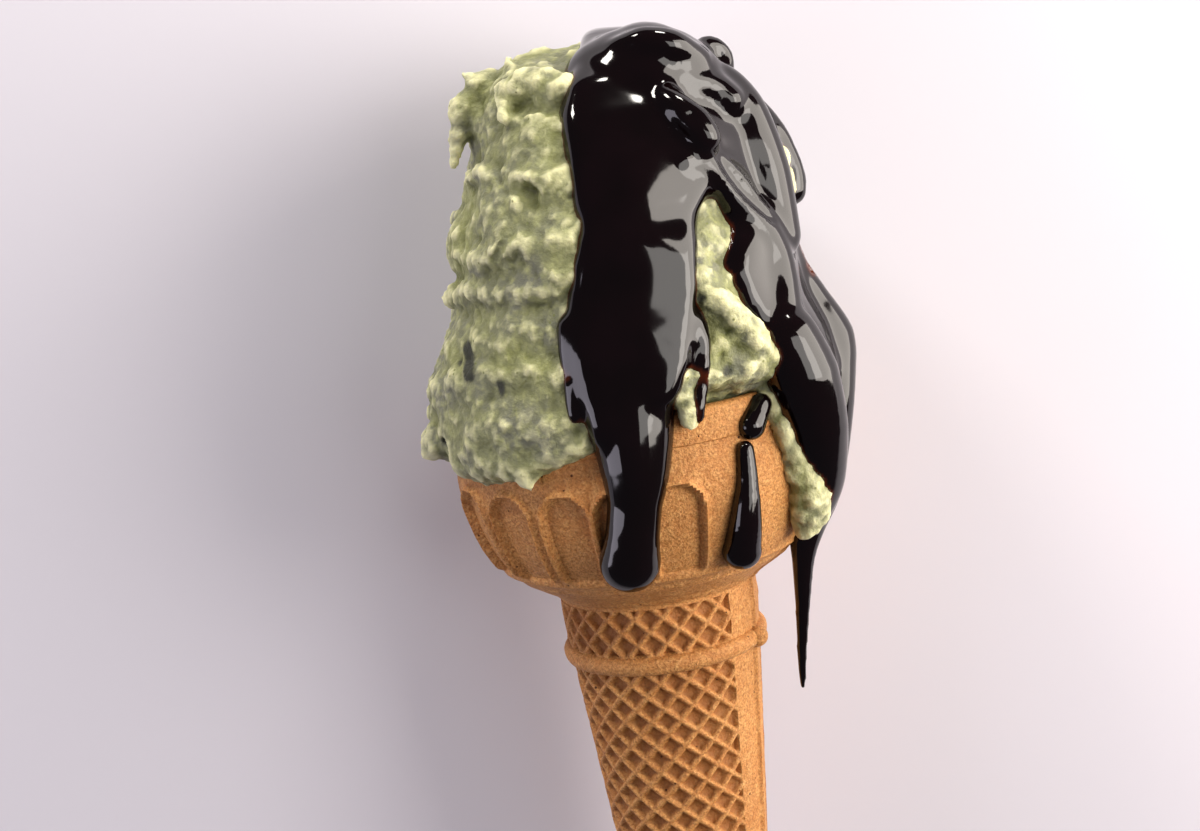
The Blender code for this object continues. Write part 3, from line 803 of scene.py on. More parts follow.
def make_wafer():
    """The spun skin with the lattice's fields on both halves of the mould."""
    half_turn = Matrix.Rotation(math.pi, 3, "Y")
    bm = bmesh.new()
    bm.from_mesh(wafer_skin.data)
    for bottom, top in ((LATTICE_BOTTOM, COLLAR_BOTTOM), (COLLAR_TOP, LATTICE_TOP)):
        field = make_field(bottom, top)
        mesh = bpy.data.meshes.new("field")
        for half in range(2):
            field.to_mesh(mesh)
            bm.from_mesh(mesh)
            bmesh.ops.rotate(field, verts=field.verts, cent=(0, 0, 0), matrix=half_turn)
        field.free()
        bpy.data.meshes.remove(mesh)
    middle = (COLLAR_BOTTOM + COLLAR_TOP) / 2
    for angle in (SEAM_ANGLE, SEAM_ANGLE - HALF_TURN):
        place = on_axis(angle, stem_radius(middle) + 0.6 * MM, middle)
        bmesh.ops.create_icosphere(bm, subdivisions=4, radius=KNOB_RADIUS, matrix=Matrix.Translation(place))
    return bm


wafer = finish_piece("wafer_cone_baked", make_wafer(), wafer_material)
wafer.data.set_sharp_from_angle(angle=math.radians(50))
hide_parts("wafer_cone")

# %% [markdown]
# ## The heap of ice cream
# A scoop pressed on with a spoon is a round-topped heap with torn ledges, crags and pits. It is
# built level by level from how far it reaches to each side, roughened, joined with its lumps and
# melted to one skin. Finer crags are then drawn on that skin along its own normals.

# %% Sizes of the heap
HEAP_LEVELS = (
    (9.0, 4.0, 4.0, 4.0, 4.0),
    (10.0, 18.0, 18.0, 18.0, 18.0),
    (16.0, 25.8, 25.8, 25.8, 25.8),
    (23.0, 28.0, 28.0, 28.0, 28.0),
    (29.0, 31.0, 30.0, 31.2, 30.0),
    (33.0, 31.6, 30.8, 31.6, 30.8),
    (38.0, 31.4, 31.8, 31.5, 31.4),
    (44.0, 30.3, 30.6, 30.8, 31.8),
    (50.0, 28.0, 28.2, 30.0, 31.8),
    (56.0, 23.6, 26.8, 28.8, 31.5),
    (62.0, 24.8, 27.0, 28.5, 30.5),
    (68.0, 23.4, 27.0, 27.3, 28.5),
    (74.0, 19.6, 26.4, 25.5, 26.0),
    (80.0, 18.8, 23.6, 23.0, 23.0),
    (85.0, 19.0, 19.2, 19.5, 18.0),
    (88.0, 17.6, 15.0, 15.5, 13.5),
    (90.2, 12.6, 11.5, 11.5, 10.0),
    (91.5, 6.0, 8.0, 7.0, 6.0),
    (92.0, 0.2, 0.2, 0.2, 0.2),
)
OVERHANG = (
    (-180.0, 33.0), (-135.0, 31.5), (-90.0, 28.5), (-60.0, 27.0), (-35.0, 28.0), (-14.0, 32.0),
    (0.0, 37.5), (40.0, 38.5), (55.0, 35.0), (110.0, 33.0), (150.0, 35.0), (180.0, 33.0),
)
HEAP_AROUND = 150
HEAP_UP = 110
HEAP_SQUARENESS = 2.3
SLAB_SQUARENESS = 1.8
SLAB_BOTTOM = 57 * MM
SLAB_TOP = 66 * MM
HEAP_MIDDLE = 60 * MM
UPWARD_SHARE = 0.45
CRAG_HEIGHT = 1.4 * MM
CRAG_SIZE = 8.5 * MM
LEDGE_HEIGHTS = (74.5, 65.0, 56.5, 44.0)
LEDGE_DEPTH = 1.2 * MM
LEDGE_REACH = 4.0 * MM
LEDGE_LIP = 0.35
LEDGE_WANDER = 2.2 * MM
OVERHANG_ROUND = 2.5 * MM
INSIDE_RIM = 26.2 * MM

RIGHT_LOBE = (
    (20.4, 37.0, 20.6, 2.8), (21.8, 31.0, 21.4, 2.0), (23.2, 26.0, 20.4, 2.4), (24.4, 21.6, 19.2, 3.0),
    (24.8, 17.0, 18.0, 3.2), (23.8, 14.0, 17.4, 2.0),
)
LEFT_NUB = ((-29.5, 35.0, 7.0, 3.6), (-32.5, 33.0, 6.0, 2.0), (-34.0, 31.4, 5.6, 0.9))
FLAKE = (
    (-15.0, 87.0, 5.0, 3.0), (-19.2, 84.6, 6.0, 2.2), (-20.8, 81.5, 6.6, 1.5), (-21.8, 78.8, 7.0, 1.0),
    (-22.8, 76.4, 7.2, 0.6),
)
FRONT_LEDGE = (
    (11.0, 54.6, 27.6, 1.0), (13.0, 53.0, 28.0, 1.6), (15.4, 50.4, 27.8, 2.0), (17.8, 46.8, 26.8, 2.1),
    (20.0, 43.2, 25.4, 2.1), (21.0, 41.0, 24.4, 1.5),
)
FRONT_TIP = ((6.4, 42.4, 28.8, 2.4), (6.9, 39.2, 29.6, 2.2), (7.3, 36.8, 30.0, 1.9), (7.5, 35.2, 30.3, 1.4))
BROW = ((-11.5, 86.0, 15.2, 1.6), (-9.2, 86.8, 15.8, 2.5), (-6.4, 86.0, 17.4, 2.6), (-4.0, 85.0, 19.2, 2.2))
SPIRE = ((-11.3, 88.0, 11.0, 1.6), (-11.4, 89.8, 9.6, 0.9), (-11.6, 91.2, 9.0, 0.5))
HORN = ((-16.2, 87.0, 6.5, 2.2), (-17.8, 88.4, 6.0, 1.3), (-18.9, 89.8, 5.6, 0.6))
SHARD = ((-18.6, 85.6, 5.0, 1.8), (-20.4, 85.3, 4.5, 1.0), (-21.6, 85.3, 4.0, 0.5))
SHORT_RIDGE = ((-13.4, 86.6, 14.2, 1.0), (-13.2, 84.6, 16.2, 1.1), (-13.4, 82.6, 17.6, 0.9))
FIRST_RIM = (
    (-11.0, 81.8, 18.2, 1.0), (-8.2, 81.2, 19.8, 1.4), (-6.3, 80.6, 21.0, 1.4), (-4.6, 79.8, 22.0, 1.2),
)
SECOND_RIM_LEFT = ((-20.2, 74.0, 8.0, 1.2), (-18.0, 74.4, 13.0, 1.7), (-15.6, 73.6, 17.0, 1.4))
SECOND_RIM_RIGHT = (
    (-13.8, 74.4, 19.0, 1.0), (-11.2, 73.0, 22.0, 1.5), (-8.6, 71.2, 24.4, 1.6), (-6.6, 70.0, 25.6, 1.2),
)
LOW_RIM = (
    (-25.6, 56.0, 5.0, 1.6), (-23.0, 56.6, 11.0, 1.8), (-19.2, 57.0, 19.0, 1.8), (-16.0, 56.8, 22.7, 1.6),
    (-12.6, 57.0, 25.3, 1.6), (-9.0, 57.2, 27.0, 1.5), (-7.0, 56.8, 27.6, 1.2),
)
RIGHT_BITS_HIGH = (
    (27.4, 71.6, 5.0, 0.9), (28.0, 69.6, 5.2, 1.5), (28.6, 67.0, 5.2, 1.5), (28.8, 65.2, 5.0, 0.9),
)
RIGHT_BITS_LOW = (
    (30.4, 57.0, 7.0, 0.9), (30.9, 55.2, 7.4, 1.4), (31.3, 53.4, 7.6, 1.3), (31.5, 51.8, 7.6, 0.7),
)
LOW_TIP = ((-17.8, 30.5, 25.6, 1.6), (-17.5, 28.2, 26.4, 0.8))
TORN_LUMPS = (
    RIGHT_BITS_HIGH, RIGHT_BITS_LOW, LEFT_NUB, FLAKE, BROW, SPIRE, HORN, SHARD, SHORT_RIDGE, FIRST_RIM,
    SECOND_RIM_LEFT, SECOND_RIM_RIGHT, LOW_RIM, LOW_TIP,
)
SMOOTH_LUMPS = (FRONT_LEDGE, FRONT_TIP, RIGHT_LOBE)
BROW_HOLLOW = (
    (-11.6, 84.0, 17.6, 1.2), (-10.6, 83.6, 18.8, 1.5), (-9.0, 83.4, 19.8, 1.1), (-6.8, 83.0, 20.8, 0.9),
    (-5.2, 82.6, 21.6, 0.7),
)
DEEP_HOLLOW = (
    (-14.2, 73.4, 22.6, 1.0), (-12.8, 71.8, 24.2, 1.8), (-11.4, 69.8, 25.6, 2.0), (-10.6, 68.2, 26.8, 1.1),
)
LEFT_CREASE = (
    (-12.8, 67.6, 26.8, 0.7), (-15.4, 65.4, 25.6, 0.8), (-18.2, 61.8, 23.0, 0.8), (-20.4, 59.6, 20.4, 0.6),
)
WINDOW_HOLLOW = ((12.0, 47.6, 30.6, 1.8), (13.8, 43.8, 30.8, 2.4), (15.6, 40.6, 30.2, 2.2))
NUB_HOLLOW = ((-30.0, 34.6, 11.8, 0.9), (-29.4, 33.2, 14.0, 0.8))
HOLLOWS = (BROW_HOLLOW, DEEP_HOLLOW, LEFT_CREASE, WINDOW_HOLLOW, NUB_HOLLOW)
TORN_SHARE = 0.22
SMOOTH_SHARE = 0.07

RANDOM_RIMS = 34
RIM_ARC = (14.0, 34.0)
RIM_SIZE = (0.9, 1.7)
RIM_SLOPE = 4.0
RANDOM_HOLLOWS = 16


# %% [markdown]
# The sauce hides the crags under it, so the places that it covers are needed before the heap is
# made. They are outlines on the front and on the back, as distances to the right of the axis and up.

# %% Where the sauce lies
SAUCE_FRONT = (
    (-0.5, 96.0), (0.1, 92.7), (-2.0, 87.9), (-3.6, 85.2), (-5.0, 81.7), (-5.1, 76.6), (-4.9, 69.3),
    (-4.6, 64.9), (-6.2, 60.8), (-7.4, 56.5), (-8.5, 52.3), (-8.9, 50.2), (-8.5, 42.9), (-7.3, 36.1),
    (-6.5, 28.3), (3.4, 28.0), (4.9, 34.4), (6.0, 38.7), (8.6, 44.1), (9.8, 48.3), (11.2, 53.8),
    (12.0, 60.0), (12.6, 64.4), (15.0, 67.2), (16.2, 67.6), (17.4, 64.5), (17.6, 61.5), (15.9, 55.4),
    (17.6, 50.0), (20.8, 44.0), (22.6, 38.5), (27.5, 24.0), (29.0, 14.0), (33.0, 8.0), (46.0, 8.0),
    (46.0, 96.0),
)
SAUCE_BACK = (
    (-0.5, 96.0), (1.0, 90.0), (-1.5, 84.0), (-2.5, 75.0), (1.5, 80.0), (6.0, 74.0), (9.5, 69.0),
    (14.0, 74.0), (17.5, 66.0), (21.0, 48.0), (24.5, 44.0), (26.5, 52.0), (29.0, 34.0), (31.0, 14.0),
    (34.0, 8.0), (46.0, 8.0), (46.0, 96.0),
)


def edge_distance(outline, right, height):
    """How far a point lies inside an outline, or outside it as a negative number."""
    inside = False
    nearest = 1.0
    for first, second in zip(outline, outline[1:] + outline[:1]):
        start = Vector(first) * MM
        along = Vector(second) * MM - start
        away = Vector((right, height)) - start
        nearest = min(nearest, from_stretch(away, along))
        if (start.y > height) != (start.y + along.y > height):
            crossing = start.x + (height - start.y) / along.y * along.x
            if right < crossing:
                inside = not inside
    return nearest if inside else -nearest


def sauce_reach(point):
    """How far a point of the heap lies inside the sauce's outline on its side."""
    outline = SAUCE_FRONT if point.z > 0 else SAUCE_BACK
    return edge_distance(outline, point.x, point.y)


# %% The heap's skin
BALL_STEP = 0.3


def crag(point, size, seed):
    """Rough relief of about this size, between about -1 and 1."""
    place = point / size + Vector((seed, seed * 0.37, -seed))
    return noise.fractal(place, 0.7, 2.0, 3, noise_basis="PERLIN_ORIGINAL")


def ledge(height, angle):
    """How far the ice cream steps out under each ledge, and in above it."""
    out = 0.0
    for number, middle in enumerate(LEDGE_HEIGHTS):
        wander = LEDGE_WANDER * math.sin(math.radians(angle * (2 + number % 2) + 70 * number))
        away = (middle * MM + wander - height) / LEDGE_REACH
        if 0.0 <= away < 1.0:
            out += LEDGE_DEPTH * (1.0 - away)
        elif -LEDGE_LIP < away < 0.0:
            out += LEDGE_DEPTH * (1.0 + away / LEDGE_LIP)
    return out


def heap_radius(angle, height):
    """How far the heap reaches from the axis, in this direction."""
    left, right, front, back = (reach * MM for reach in blend_table(HEAP_LEVELS, height / MM))
    turn = math.radians(angle)
    across = math.sin(turn)
    forward = math.cos(turn)
    half_across = right if across > 0 else left
    half_forward = front if forward > 0 else back
    slab = 0.0
    if across > 0 and forward > 0:
        slab = round_step((height - SLAB_BOTTOM) / (SLAB_TOP - SLAB_BOTTOM))
    power = HEAP_SQUARENESS + (SLAB_SQUARENESS - HEAP_SQUARENESS) * slab
    reach = (abs(across) / half_across) ** power + (abs(forward) / half_forward) ** power
    radius = reach ** (-1.0 / power)
    low = blend_table(OVERHANG, angle)[0] * MM
    inside = round_step((low + OVERHANG_ROUND - height) / (2 * OVERHANG_ROUND))
    return radius + (min(radius, INSIDE_RIM) - radius) * inside


def outward(point):
    """The way out of the heap, mostly sideways and a little up or down."""
    return Vector((point.x, UPWARD_SHARE * (point.y - HEAP_MIDDLE), point.z)).normalized()


def add_heap(bm, lift):
    """Add the heap's skin as a spun-like stack of rings, moved at each point by the rule in lift."""
    low = HEAP_LEVELS[0][0] * MM
    high = HEAP_LEVELS[-1][0] * MM
    ball = bmesh.ops.create_uvsphere(bm, u_segments=HEAP_AROUND, v_segments=HEAP_UP, radius=1.0)
    for vert in ball["verts"]:
        height = low + (high - low) * (vert.co.z + 1.0) / 2
        flat = math.hypot(vert.co.x, vert.co.y)
        angle = math.degrees(math.atan2(vert.co.x, vert.co.y))
        if flat < 1e-4:
            point = Vector((0, height, 0))
            vert.co = point
        else:
            point = on_axis(angle, heap_radius(angle, height), height)
            vert.co = point + outward(point) * lift(point, angle)


def rough_lift(point, angle):
    """Crags and ledges, from just above the rim upwards, and fewer where the sauce lies."""
    free = round_step((point.y - 24 * MM) / (8 * MM))
    covered = round_step(sauce_reach(point) / (3 * MM))
    rough = CRAG_HEIGHT * crag(point, CRAG_SIZE, 3.1) + ledge(point.y, angle)
    return free * (1.0 - 0.85 * covered) * rough - 0.3 * MM * covered


def ball_string(balls, ragged, seed):
    """Overlapping balls along a smooth path. Torn food has balls that differ and stray."""
    draw = random.Random(seed)
    bm = bmesh.new()
    places = [Vector(ball[:3]) * MM for ball in balls]
    radii = [ball[3] * MM for ball in balls]
    for number in range(len(balls) - 1):
        before = places[max(0, number - 1)]
        start, end = places[number], places[number + 1]
        after = places[min(len(places) - 1, number + 2)]
        reach = (end - start).length
        count = max(2, round(reach / (BALL_STEP * min(radii[number:number + 2]))) + 1)
        path = interpolate_bezier(start, start + (end - before) / 6, end - (after - start) / 6, end, count)
        for place_number, place in enumerate(path):
            part = place_number / (count - 1)
            radius = radii[number] + (radii[number + 1] - radii[number]) * part
            stray = Vector([draw.uniform(-1, 1) for axis in range(3)]) * ragged * radius
            radius *= 1 + ragged * draw.uniform(-0.8, 0.8)
            fine = 3 if radius > 2 * MM else 2
            bmesh.ops.create_icosphere(
                bm, subdivisions=fine, radius=radius, matrix=Matrix.Translation(place + stray)
            )
    return bm


def add_string(bm, balls, ragged=0.0, seed=0):
    """Join a string of balls to a mesh."""
    string = ball_string(balls, ragged, seed)
    mesh = bpy.data.meshes.new("string")
    string.to_mesh(mesh)
    string.free()
    bm.from_mesh(mesh)
    bpy.data.meshes.remove(mesh)


# %% [markdown]
# ### Torn rims and hollows
# Where the spoon tore the ice cream, one layer juts out over the next with a ragged rim, and a
# hollow lies under it. The material paints the rims lighter, as a painted highlight, and the
# hollows darker, as painted shade. The rims that the photograph shows are placed one by one. On the
# sides that it does not show, the same kind of rims and hollows are drawn at random, from a fixed seed.

# %% Torn rims and hollows
def strip_on_heap(draw, sizes, proud):
    """A short wandering string of balls on the heap's skin, somewhere round the sides or the back."""
    middle = draw.uniform(75.0, 285.0)
    height = draw.uniform(34.0, 84.0)
    arc = draw.uniform(*RIM_ARC)
    slope = draw.uniform(-RIM_SLOPE, RIM_SLOPE)
    size = draw.uniform(*sizes)
    balls = []
    for part in (-0.5, -0.2, 0.1, 0.3, 0.5):
        angle = (middle + arc * part + 180.0) % 360.0 - 180.0
        level = height + slope * part + draw.uniform(-0.6, 0.6)
        radius = heap_radius(angle, level * MM) / MM + proud
        place = on_axis(angle, radius, level)
        balls.append((place.x, place.y, place.z, size * (1.0 - 0.8 * abs(part))))
    return balls


def make_hollows():
    """The skin of every hollow, to be cut out of the heap."""
    draw = random.Random(11)
    bm = bmesh.new()
    for number, hollow in enumerate(HOLLOWS):
        add_string(bm, hollow, TORN_SHARE, number)
    for number in range(RANDOM_HOLLOWS):
        add_string(bm, strip_on_heap(draw, (0.8, 1.5), 0.8), TORN_SHARE, number)
    bmesh.ops.recalc_face_normals(bm, faces=bm.faces)
    hollows = loose_object("hollows", bm)
    melt(hollows, ICE_VOXEL)
    return hollows


def add_rims(bm):
    """Add the torn lumps and rims of the heap."""
    draw = random.Random(4)
    for number, lump in enumerate(TORN_LUMPS):
        add_string(bm, lump, TORN_SHARE, number)
    for number, lump in enumerate(SMOOTH_LUMPS):
        add_string(bm, lump, SMOOTH_SHARE, number)
    for number in range(RANDOM_RIMS):
        add_string(bm, strip_on_heap(draw, RIM_SIZE, 0.0), TORN_SHARE, number)


# %% [markdown]
# ### Crags and crumbs
# Torn ice cream shows relief at several sizes at once. Layers of noise, from 4 mm crags down to
# half-millimetre crumbs, push the skin in and out. The back is pressed flat where it lies on the
# floor, and the wafer is cut out last, so that the two pieces meet without passing through.

# %% Crags and crumbs
ICE_VOXEL = 0.51 * MM
RELIEF_ROUNDS = 22
RELIEF_HEIGHT = 0.55 * MM
FLOOR = -AXIS.z


def roughen(bm):
    """Push every point along its normal by layers of noise."""
    bm.normal_update()
    moves = []
    for vert in bm.verts:
        place = vert.co
        broad = noise.fractal(place / (4.2 * MM), 0.8, 2.0, 2, noise_basis="PERLIN_ORIGINAL")
        ridge = 0.5 - abs(noise.noise(place / (2.6 * MM) + Vector((7, 1, 3))))
        crumb = noise.noise(place / (1.1 * MM))
        grain = noise.noise(place / (0.6 * MM))
        torn = abs(noise.noise(place / (1.7 * MM) + Vector((2, 9, 4))))
        move = 0.55 * broad + 0.30 * (ridge - 0.25) + 0.40 * (torn - 0.2) + 0.14 * crumb + 0.12 * grain
        moves.append(vert.normal * move * MM)
    for vert, move in zip(bm.verts, moves):
        vert.co += move


def press_on_floor(bm):
    """Flatten what would reach below the floor."""
    for vert in bm.verts:
        vert.co.z = max(vert.co.z, FLOOR + 0.02 * MM)


def make_heap():
    """The heap's skin with its lumps and hollows, melted and roughened."""
    bm = bmesh.new()
    add_heap(bm, rough_lift)
    add_rims(bm)
    bmesh.ops.recalc_face_normals(bm, faces=bm.faces)
    heap = loose_object("heap", bm)
    melt(heap, ICE_VOXEL)
    hollows = make_hollows()
    cut_away(heap, hollows)
    drop(hollows)
    melt(heap, ICE_VOXEL)
    bm = bmesh.new()
    bm.from_mesh(heap.data)
    roughen(bm)
    press_on_floor(bm)
    bm.to_mesh(heap.data)
    bm.free()
    return heap


def fit_piece(name, source, cutters, material):
    """Cut neighbours out of a copy of a working object, and finish it as a piece of the model."""
    work = bpy.data.objects.new("work", source.data.copy())
    bpy.context.collection.objects.link(work)
    for cutter in cutters:
        cut_away(work, cutter)
    bm = bmesh.new()
    bm.from_mesh(work.data)
    keep_largest(bm)
    drop(work)
    return finish_piece(name, bm, material)


FLECKS = (
    ((-24.2, 49.2, 18.2), (-24.0, 45.4, 20.8), 1.1),
    ((-19.6, 43.8, 25.5), (-19.7, 42.8, 25.6), 0.6),
    ((-30.5, 34.9, 10.3), (-29.7, 33.7, 13.1), 0.4),
    ((11.7, 52.8, 28.6), (11.5, 52.6, 28.6), 0.6),
    ((14.2, 41.6, 29.0), (14.0, 41.4, 29.0), 0.7),
    ((-25.4, 46.8, 17.0), (-25.3, 46.5, 17.2), 0.3),
    ((-8.8, 46.2, 29.4), (-8.9, 46.0, 29.4), 0.3),
)
FLECK_BLUR = 0.5


def mark_flecks(mesh):
    """Keep on each point how much of a dark fleck of nut or seed shows through there."""
    marks = np.zeros(len(mesh.vertices))
    for number, vert in enumerate(mesh.vertices):
        place = (vert.co - AXIS) / MM
        for start, end, radius in FLECKS:
            first = Vector(start)
            along = Vector(end) - first
            away = from_stretch(place - first, along) - radius
            if away < FLECK_BLUR:
                marks[number] = max(marks[number], 1.0 - max(0.0, away) / FLECK_BLUR)
    keep_mark(mesh, "fleck", marks)


heap = make_heap()
ice_cream = fit_piece("ice_cream_heap", heap, (wafer_skin,), ice_cream_material)
# The relief is kept for the material, which paints crests lighter and hollows darker as painted highlight
# and shade.
mark_relief(ice_cream.data, RELIEF_ROUNDS, RELIEF_HEIGHT)
mark_flecks(ice_cream.data)
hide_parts("ice_cream")

# %% [markdown]
# ## The chocolate sauce
# Thick sauce poured over the top hides every crag under it, thins out towards a rounded edge and
# runs down in drips that end in a bulb. Its cover is the heap without its crags, raised inside an
# outline and sunk outside it. Runs, ribbons and bulbs are strings of balls. All is melted together,
# smoothed as a liquid is, and the ice cream and the wafer are cut out of it. The strings that are
# laid on the heap give a height over its skin as their third number, and not a place.

# %% Sizes of the sauce
SAUCE_THICKNESS = 2.3 * MM
SAUCE_EDGE = 2.6 * MM
BARE_DEPTH = 3.2 * MM
SAUCE_VOXEL = 0.48 * MM
DRIP_VOXEL = 0.25 * MM
THIN_SAUCE = 0.55 * MM
FLOW_ROUNDS = 8
GROOVE_ROUNDS = 9

FRONT_RUN = (
    (-0.6, 45.0, 24.8, 8.2), (-1.0, 38.0, 26.8, 7.0), (-1.2, 33.0, 28.0, 6.1), (-1.6, 28.0, 28.9, 5.1),
    (-2.3, 24.0, 29.2, 4.2), (-3.3, 19.0, 28.8, 4.2), (-4.2, 14.8, 27.4, 4.8),
)
FRONT_FOOT = ((9.6, 50.0, 27.2, 2.4), (10.4, 47.4, 28.2, 1.9), (10.8, 45.4, 28.8, 1.3))
THIN_FILM = (
    (10.8, 45.6, -0.1, 1.4), (10.4, 42.8, -0.1, 1.3), (9.7, 39.8, -0.1, 1.3), (9.0, 37.4, -0.1, 1.2),
    (8.7, 35.4, -0.1, 1.0),
)
LEFT_SIDE_RUN = ((-7.8, 51.0, 28.4, 2.4), (-8.5, 46.8, 29.0, 2.0), (-8.8, 44.0, 29.6, 1.5))
LEFT_FILM = ((-8.9, 42.9, -0.1, 1.5), (-9.2, 40.0, -0.1, 1.4), (-9.2, 38.0, -0.1, 1.1))
CROWN = ((3.6, 84.2, 12.6, 8.2), (8.6, 85.0, 12.8, 8.8), (12.6, 83.2, 12.0, 8.2))
TOP_FOLD = ((4.4, 90.2, 17.4, 1.6), (8.6, 90.6, 19.0, 2.2), (12.6, 89.4, 18.8, 2.5), (16.4, 86.8, 16.0, 2.2))
COIL = (
    (16.8, 85.4, 9.6, 1.8), (17.0, 87.4, 9.2, 1.6), (18.4, 89.0, 8.4, 1.5), (20.2, 88.6, 7.6, 1.5),
    (21.4, 86.8, 7.2, 1.5), (21.0, 84.8, 7.8, 1.6), (19.2, 84.0, 8.8, 1.7), (17.4, 84.4, 9.6, 1.8),
)
COIL_CUP = ((18.9, 86.4, 6.6, 2.0), (19.2, 86.2, 6.4, 2.0))
UPPER_NOSE = ((13.4, 84.6, 5.0, 2.0), (15.8, 83.4, 5.4, 2.5), (18.4, 82.0, 5.8, 2.8), (20.4, 80.2, 5.8, 2.5))
LOWER_NOSE = ((10.4, 82.6, 3.6, 1.8), (12.2, 80.2, 4.4, 2.3), (14.4, 77.6, 5.0, 2.7), (15.6, 75.4, 4.6, 2.4))
SADDLE = ((9.6, 74.6, -0.8, 2.8), (12.6, 72.2, -0.4, 3.0), (14.6, 71.4, -0.2, 2.8))
UPPER_RIBBON = (
    (16.0, 85.6, 12.0, 2.8), (20.0, 82.4, 11.5, 3.4), (22.2, 78.4, 12.0, 4.0), (23.4, 73.4, 12.2, 4.4),
    (24.2, 68.4, 12.4, 4.6), (24.6, 63.6, 13.0, 4.4), (24.8, 59.0, 14.0, 4.2),
)
LOWER_RIBBON = (
    (11.5, 72.4, 23.0, 2.8), (14.8, 71.4, 21.6, 2.8), (17.8, 68.4, 20.0, 3.0), (20.2, 63.8, 19.0, 3.2),
    (22.2, 59.8, 18.0, 3.5), (23.2, 56.0, 17.6, 3.8), (23.4, 51.8, 18.6, 3.9), (23.2, 48.6, 20.0, 3.9),
    (22.6, 46.8, 20.8, 3.8),
)
SIDE_STRAND = (
    (22.5, 81.5, 1.0, 2.6), (27.2, 75.6, 2.0, 2.2), (29.6, 70.6, 2.5, 1.9), (30.2, 66.6, 2.5, 2.1),
    (29.8, 64.6, 2.5, 2.3),
)
RIGHT_RUN = (
    (26.0, 57.5, 6.0, 3.3), (27.4, 52.5, 6.0, 3.2), (29.6, 47.0, 6.0, 3.8), (31.6, 41.0, 6.5, 4.8),
    (31.2, 36.0, 7.6, 4.6), (30.2, 30.0, 8.8, 4.3), (28.6, 23.0, 9.2, 4.1), (26.8, 17.0, 9.6, 3.8),
    (24.6, 12.0, 10.2, 2.9), (23.4, 7.0, 10.0, 2.0), (22.3, -2.0, 9.2, 1.3), (21.4, -9.0, 8.8, 1.0),
    (20.8, -15.0, 8.5, 0.7),
)
MIDDLE_RUN = (
    (23.6, 44.0, 21.0, 5.4), (25.4, 38.0, 20.6, 6.0), (26.6, 30.0, 19.2, 5.4), (26.6, 21.0, 15.6, 4.4),
    (25.0, 15.5, 13.0, 3.4),
)
BOWL_DRIP = (
    (15.2, 29.0, 26.2, 1.4), (14.8, 24.0, 26.8, 1.8), (13.8, 18.0, 26.6, 2.5), (12.8, 13.5, 24.8, 3.1),
)
SLIT = (
    (17.0, 73.4, 0.2, 0.6), (18.4, 71.0, 0.3, 1.3), (20.6, 67.8, 0.4, 1.8), (22.8, 64.6, 0.4, 1.5),
    (24.8, 61.6, 0.3, 0.8),
)
DIMPLE = ((13.8, 79.2, 0.4, 1.1), (14.1, 78.4, 0.4, 1.1))
RIM_DROP = ((18.6, 35.0, 23.6, 1.8), (16.6, 32.2, 25.0, 2.2))


# %% The sauce's cover and its runs
def sauce_lift(point, angle):
    """The sauce's height over the smooth heap, with a round edge. Bare places are sunk."""
    inside = sauce_reach(point)
    if inside <= 0:
        return -BARE_DEPTH * min(1.0, -inside / SAUCE_EDGE)
    edge = min(1.0, inside / SAUCE_EDGE)
    wave = 0.5 * MM * noise.noise(point / (9 * MM))
    return (SAUCE_THICKNESS + wave) * math.sqrt(1.0 - (1.0 - edge) ** 2)


def melted_strings(name, strings, voxel, coat=False):
    """Strings melted together, with or without the cover over the heap."""
    bm = bmesh.new()
    if coat:
        add_heap(bm, sauce_lift)
    for string in strings:
        add_string(bm, string)
    bmesh.ops.recalc_face_normals(bm, faces=bm.faces)
    work = loose_object(name, bm)
    melt(work, voxel)
    return work


def make_sauce(strings, coat, voxel, rounds):
    """Let melted runs flow together, and draw the grooves between the ribbons of the cover."""
    work = melted_strings("sauce_work", strings, voxel, coat)
    let_flow(work, rounds, 0.5, 0.12)
    if coat:
        surface = BVHTree.FromObject(work, bpy.context.evaluated_depsgraph_get())
        grooves = melted_strings("grooves", [lay_on(surface, SLIT), lay_on(surface, DIMPLE)], voxel)
        cut_away(work, grooves)
        drop(grooves)
        melt(work, voxel)
        let_flow(work, GROOVE_ROUNDS, 0.4, 0.2)
    return work


def lay_on(surface, balls):
    """Balls given by right, height, lift and radius, put on the front of a surface."""
    out = []
    for right, height, lift, radius in balls:
        hit = surface.ray_cast(Vector((right, height, 80)) * MM, Vector((0, 0, -1)))[0]
        out.append((right, height, hit.z / MM + lift, radius))
    return out


def mark_thin(piece, tree, full):
    """Keep on each point how thin the sauce is over what lies under it."""
    mesh = piece.data
    thin = []
    for vert in mesh.vertices:
        place = vert.co - AXIS
        under = tree.find_nearest(place)
        thin.append(1.0 - min(1.0, under[3] / full))
    keep_mark(mesh, "thin", thin)


def pour(name, node, strings, coat, voxel, rounds):
    """Make one body of sauce and let it stand for its node."""
    work = make_sauce(strings, coat, voxel, rounds)
    piece = fit_piece(name, work, (heap, wafer_skin), sauce_material)
    drop(work)
    mark_thin(piece, heap_tree, THIN_SAUCE)
    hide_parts(node)
    return piece


